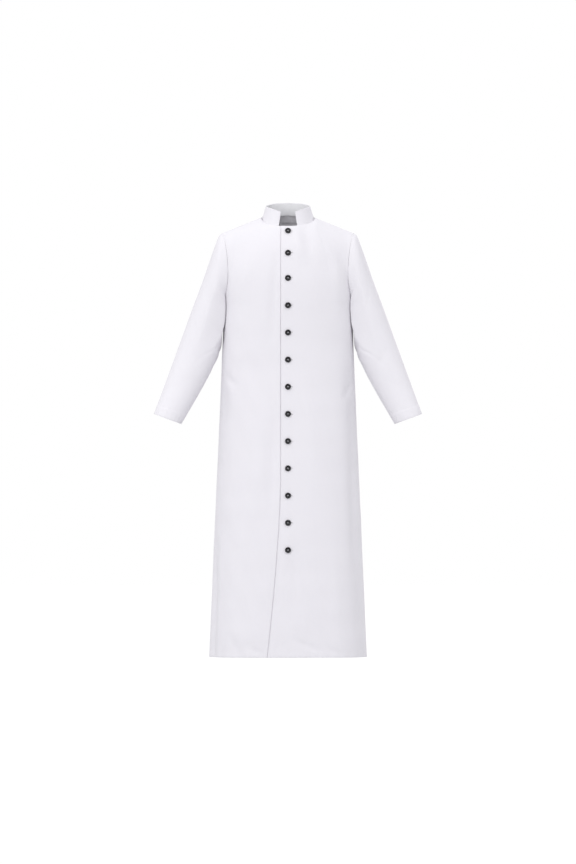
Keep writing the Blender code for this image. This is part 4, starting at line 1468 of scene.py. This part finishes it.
button = {
    "radius": 0.0100,
    "sides": 64,
    "holeRadius": 0.00095,
    "holeOffset": 0.0019,
    "drillLength": 0.02,
    "drillSides": 24,
    "sharpFrom": 38.0,
    "seed": 29,
    "turn": 14.0,           # at most, either way
    # distance from the middle as a share of the radius, and height over the seat
    "profile": (
        (0.00, 0.00215), (0.30, 0.00216), (0.48, 0.00222), (0.56, 0.00240), (0.62, 0.00285),
        (0.68, 0.00335), (0.74, 0.00360), (0.80, 0.00369), (0.86, 0.00366), (0.91, 0.00350),
        (0.955, 0.00315), (0.985, 0.00265), (1.00, 0.00210), (0.995, 0.00160), (0.970, 0.00110),
        (0.920, 0.00060), (0.860, 0.00022), (0.800, 0.00003), (0.700, 0.00000), (0.00, 0.00000),
    ),
}

buttonThread = {
    "strand": 0.00026,       # radius of the thread
    "spread": 0.00042,       # between strands of a bar
    "strandSides": 8,
    "barSteps": 11,
    "bend": 5,
    "overhang": 0.0002,
    "top": 0.00215,          # the face that the bars lie on
    "rise": 0.00055,
    "outerDrop": 0.25,
    "sink": 0.0008,
    "shankRadius": 0.00125,
    "shankTop": 0.0004,
    "shankBottom": -0.0034,
    "shankSides": 20,
    "windings": 6,
    "windingSteps": 8,
    "windingDepth": 0.14,
}


def levelRing(work, reach, height, sides):
    ring = []
    for k in range(sides):
        turn = 2.0 * math.pi * k / sides
        ring.append(work.verts.new((reach * math.cos(turn), reach * math.sin(turn), height)))
    return ring


def buttonMesh():
    work = bmesh.new()
    rings = []
    for share, height in button["profile"]:
        if share == 0.0:
            rings.append([work.verts.new((0.0, 0.0, height))])
        else:
            rings.append(levelRing(work, share * button["radius"], height, button["sides"]))
    for inner, outer in zip(rings, rings[1:]):
        for k in range(button["sides"]):
            following = (k + 1) % button["sides"]
            corners = [inner[k % len(inner)], outer[k % len(outer)]]
            corners += [outer[following % len(outer)], inner[following % len(inner)]]
            work.faces.new(list(dict.fromkeys(corners)))
    blank = addPiece("buttonBlank", meshOf("buttonBlank", work))
    faceOutward(blank.data)

    drills = bmesh.new()
    for k in range(4):
        turn = math.radians(45.0 + 90.0 * k)
        reach = button["holeOffset"]
        bmesh.ops.create_cone(
            drills, cap_ends=True, segments=button["drillSides"], radius1=button["holeRadius"],
            radius2=button["holeRadius"], depth=button["drillLength"],
            matrix=Matrix.Translation((reach * math.cos(turn), reach * math.sin(turn), 0.0)),
        )
    drill = addPiece("buttonDrills", meshOf("buttonDrills", drills))
    cut = blank.modifiers.new("holes", "BOOLEAN")
    cut.operation = "DIFFERENCE"
    cut.object = drill
    made = meshToPlain(blank)
    bpy.data.objects.remove(blank)
    bpy.data.objects.remove(drill)
    made.shade_smooth()
    made.set_sharp_from_angle(angle=math.radians(button["sharpFrom"]))
    return made


def closeTube(work, rings):
    # faces from ring to ring, and over both ends
    sides = len(rings[0])
    for low, high in zip(rings, rings[1:]):
        for k in range(sides):
            work.faces.new((low[k], low[(k + 1) % sides], high[(k + 1) % sides], high[k]))
    work.faces.new(rings[0])
    work.faces.new(rings[-1])


def addTube(work, path, radius, sides):
    rings = []
    for k, point in enumerate(path):
        ahead = (path[min(k + 1, len(path) - 1)] - path[max(k - 1, 0)]).normalized()
        side = ahead.cross(Vector((0.0, 1.0, 0.0))).normalized()
        other = ahead.cross(side)
        ring = []
        for turn in np.linspace(0.0, 2.0 * math.pi, sides, endpoint=False):
            ring.append(work.verts.new(point + (side * math.cos(turn) + other * math.sin(turn)) * radius))
        rings.append(ring)
    closeTube(work, rings)


def buttonThreadMesh():
    # two bars of three strands through the holes, and the wound shank under the button
    form = buttonThread
    work = bmesh.new()
    hole = button["holeOffset"] / math.sqrt(2.0)
    for bar in (-1, 1):
        for strand in (-1, 0, 1):
            rise = form["rise"] * (1.0 - form["outerDrop"] * abs(strand))
            path = []
            for t in np.linspace(-1.0, 1.0, form["barSteps"]):
                height = form["top"] + rise - (form["sink"] + rise) * abs(t) ** form["bend"]
                across = t * (hole + form["overhang"])
                path.append(Vector((across, bar * hole + strand * form["spread"], height)))
            addTube(work, path, form["strand"], form["strandSides"])
    rings = []
    steps = form["windingSteps"] * form["windings"]
    for k in range(steps + 1):
        t = k / steps
        wave = abs(math.sin(math.pi * t * form["windings"]))
        reach = form["shankRadius"] * (1.0 - form["windingDepth"] * (1.0 - wave))
        height = form["shankTop"] + (form["shankBottom"] - form["shankTop"]) * t
        rings.append(levelRing(work, reach, height, form["shankSides"]))
    closeTube(work, rings)
    mesh = meshOf("buttonThread", work)
    faceOutward(mesh)
    mesh.shade_smooth()
    return mesh


blackPolyester = buttonMaterial()
lightThread = threadMaterial("lightGreyThread", threadFinish["light"])
buttonForm = buttonMesh()
threadForm = buttonThreadMesh()
rightSheet = sheets["front_right"]
rng = np.random.default_rng(button["seed"])
for number, z in enumerate(buttonHeights(), 1):
    # a button sits square on the lap, each one turned a little on its thread
    middleColumn = len(rightSheet["columns"]) - 1 - fineness["lapColumns"]
    row = np.array([np.interp(z, rightSheet["points"][:, middleColumn, 2], rightSheet["rows"])])
    _, normal = onSheet(rightSheet, np.zeros(1), row)
    if row[0] <= 1.0:
        seatPoint = skirtRow(-1, np.zeros(1), z)[0]
    else:
        seatPoint = yokeRow(-1, np.zeros(1), row[0] - 1.0)[0]
    normal = Vector((0.0, normal[0, 1], normal[0, 2])).normalized()
    seat = Vector(seatPoint) + normal * (cloth["wall"] + openingForm["lapGap"] + openingForm["buttonSeat"])
    turn = math.radians(rng.uniform(-button["turn"], button["turn"]))
    upright = normal.to_track_quat("Z", "X").to_matrix().to_4x4()
    place = Matrix.Translation(seat) @ upright @ Matrix.Rotation(turn, 4, "Z")
    for name, form, material in (
        (f"button{number:02d}", buttonForm, blackPolyester),
        (f"buttonThread{number:02d}", threadForm, lightThread),
    ):
        mesh = form.copy()
        mesh.name = name
        mesh.transform(place)
        mesh.materials.clear()
        mesh.materials.append(material)
        thing = addPiece(name, mesh)
        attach(thing, "root")
        if form is buttonForm:
            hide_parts(f"button_{number:02d}")
print("buttons made")

for node, piece in pieces.items():
    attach(piece, "root")
    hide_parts(node)
for piece in list(turned.values()) + sewn:
    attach(piece, "root")

# How each piece was cut: width and length of its flat cloth, and its area, in metres
cuts = table(
    "node flat area restsOn",
    ("front_left", (0.43, 1.47), 0.487, ["back", "collar"]),
    ("front_right", (0.43, 1.47), 0.487, ["back", "collar"]),
    ("back", (0.74, 1.50), 0.908, ["collar"]),
    ("sleeve_left", (0.53, 0.66), 0.1965, ["front_left", "back"]),
    ("sleeve_right", (0.53, 0.66), 0.1965, ["front_right", "back"]),
    ("collar", (0.45, 0.05), 0.018, ["back"]),
)
for cut in cuts:
    node = cut["node"]
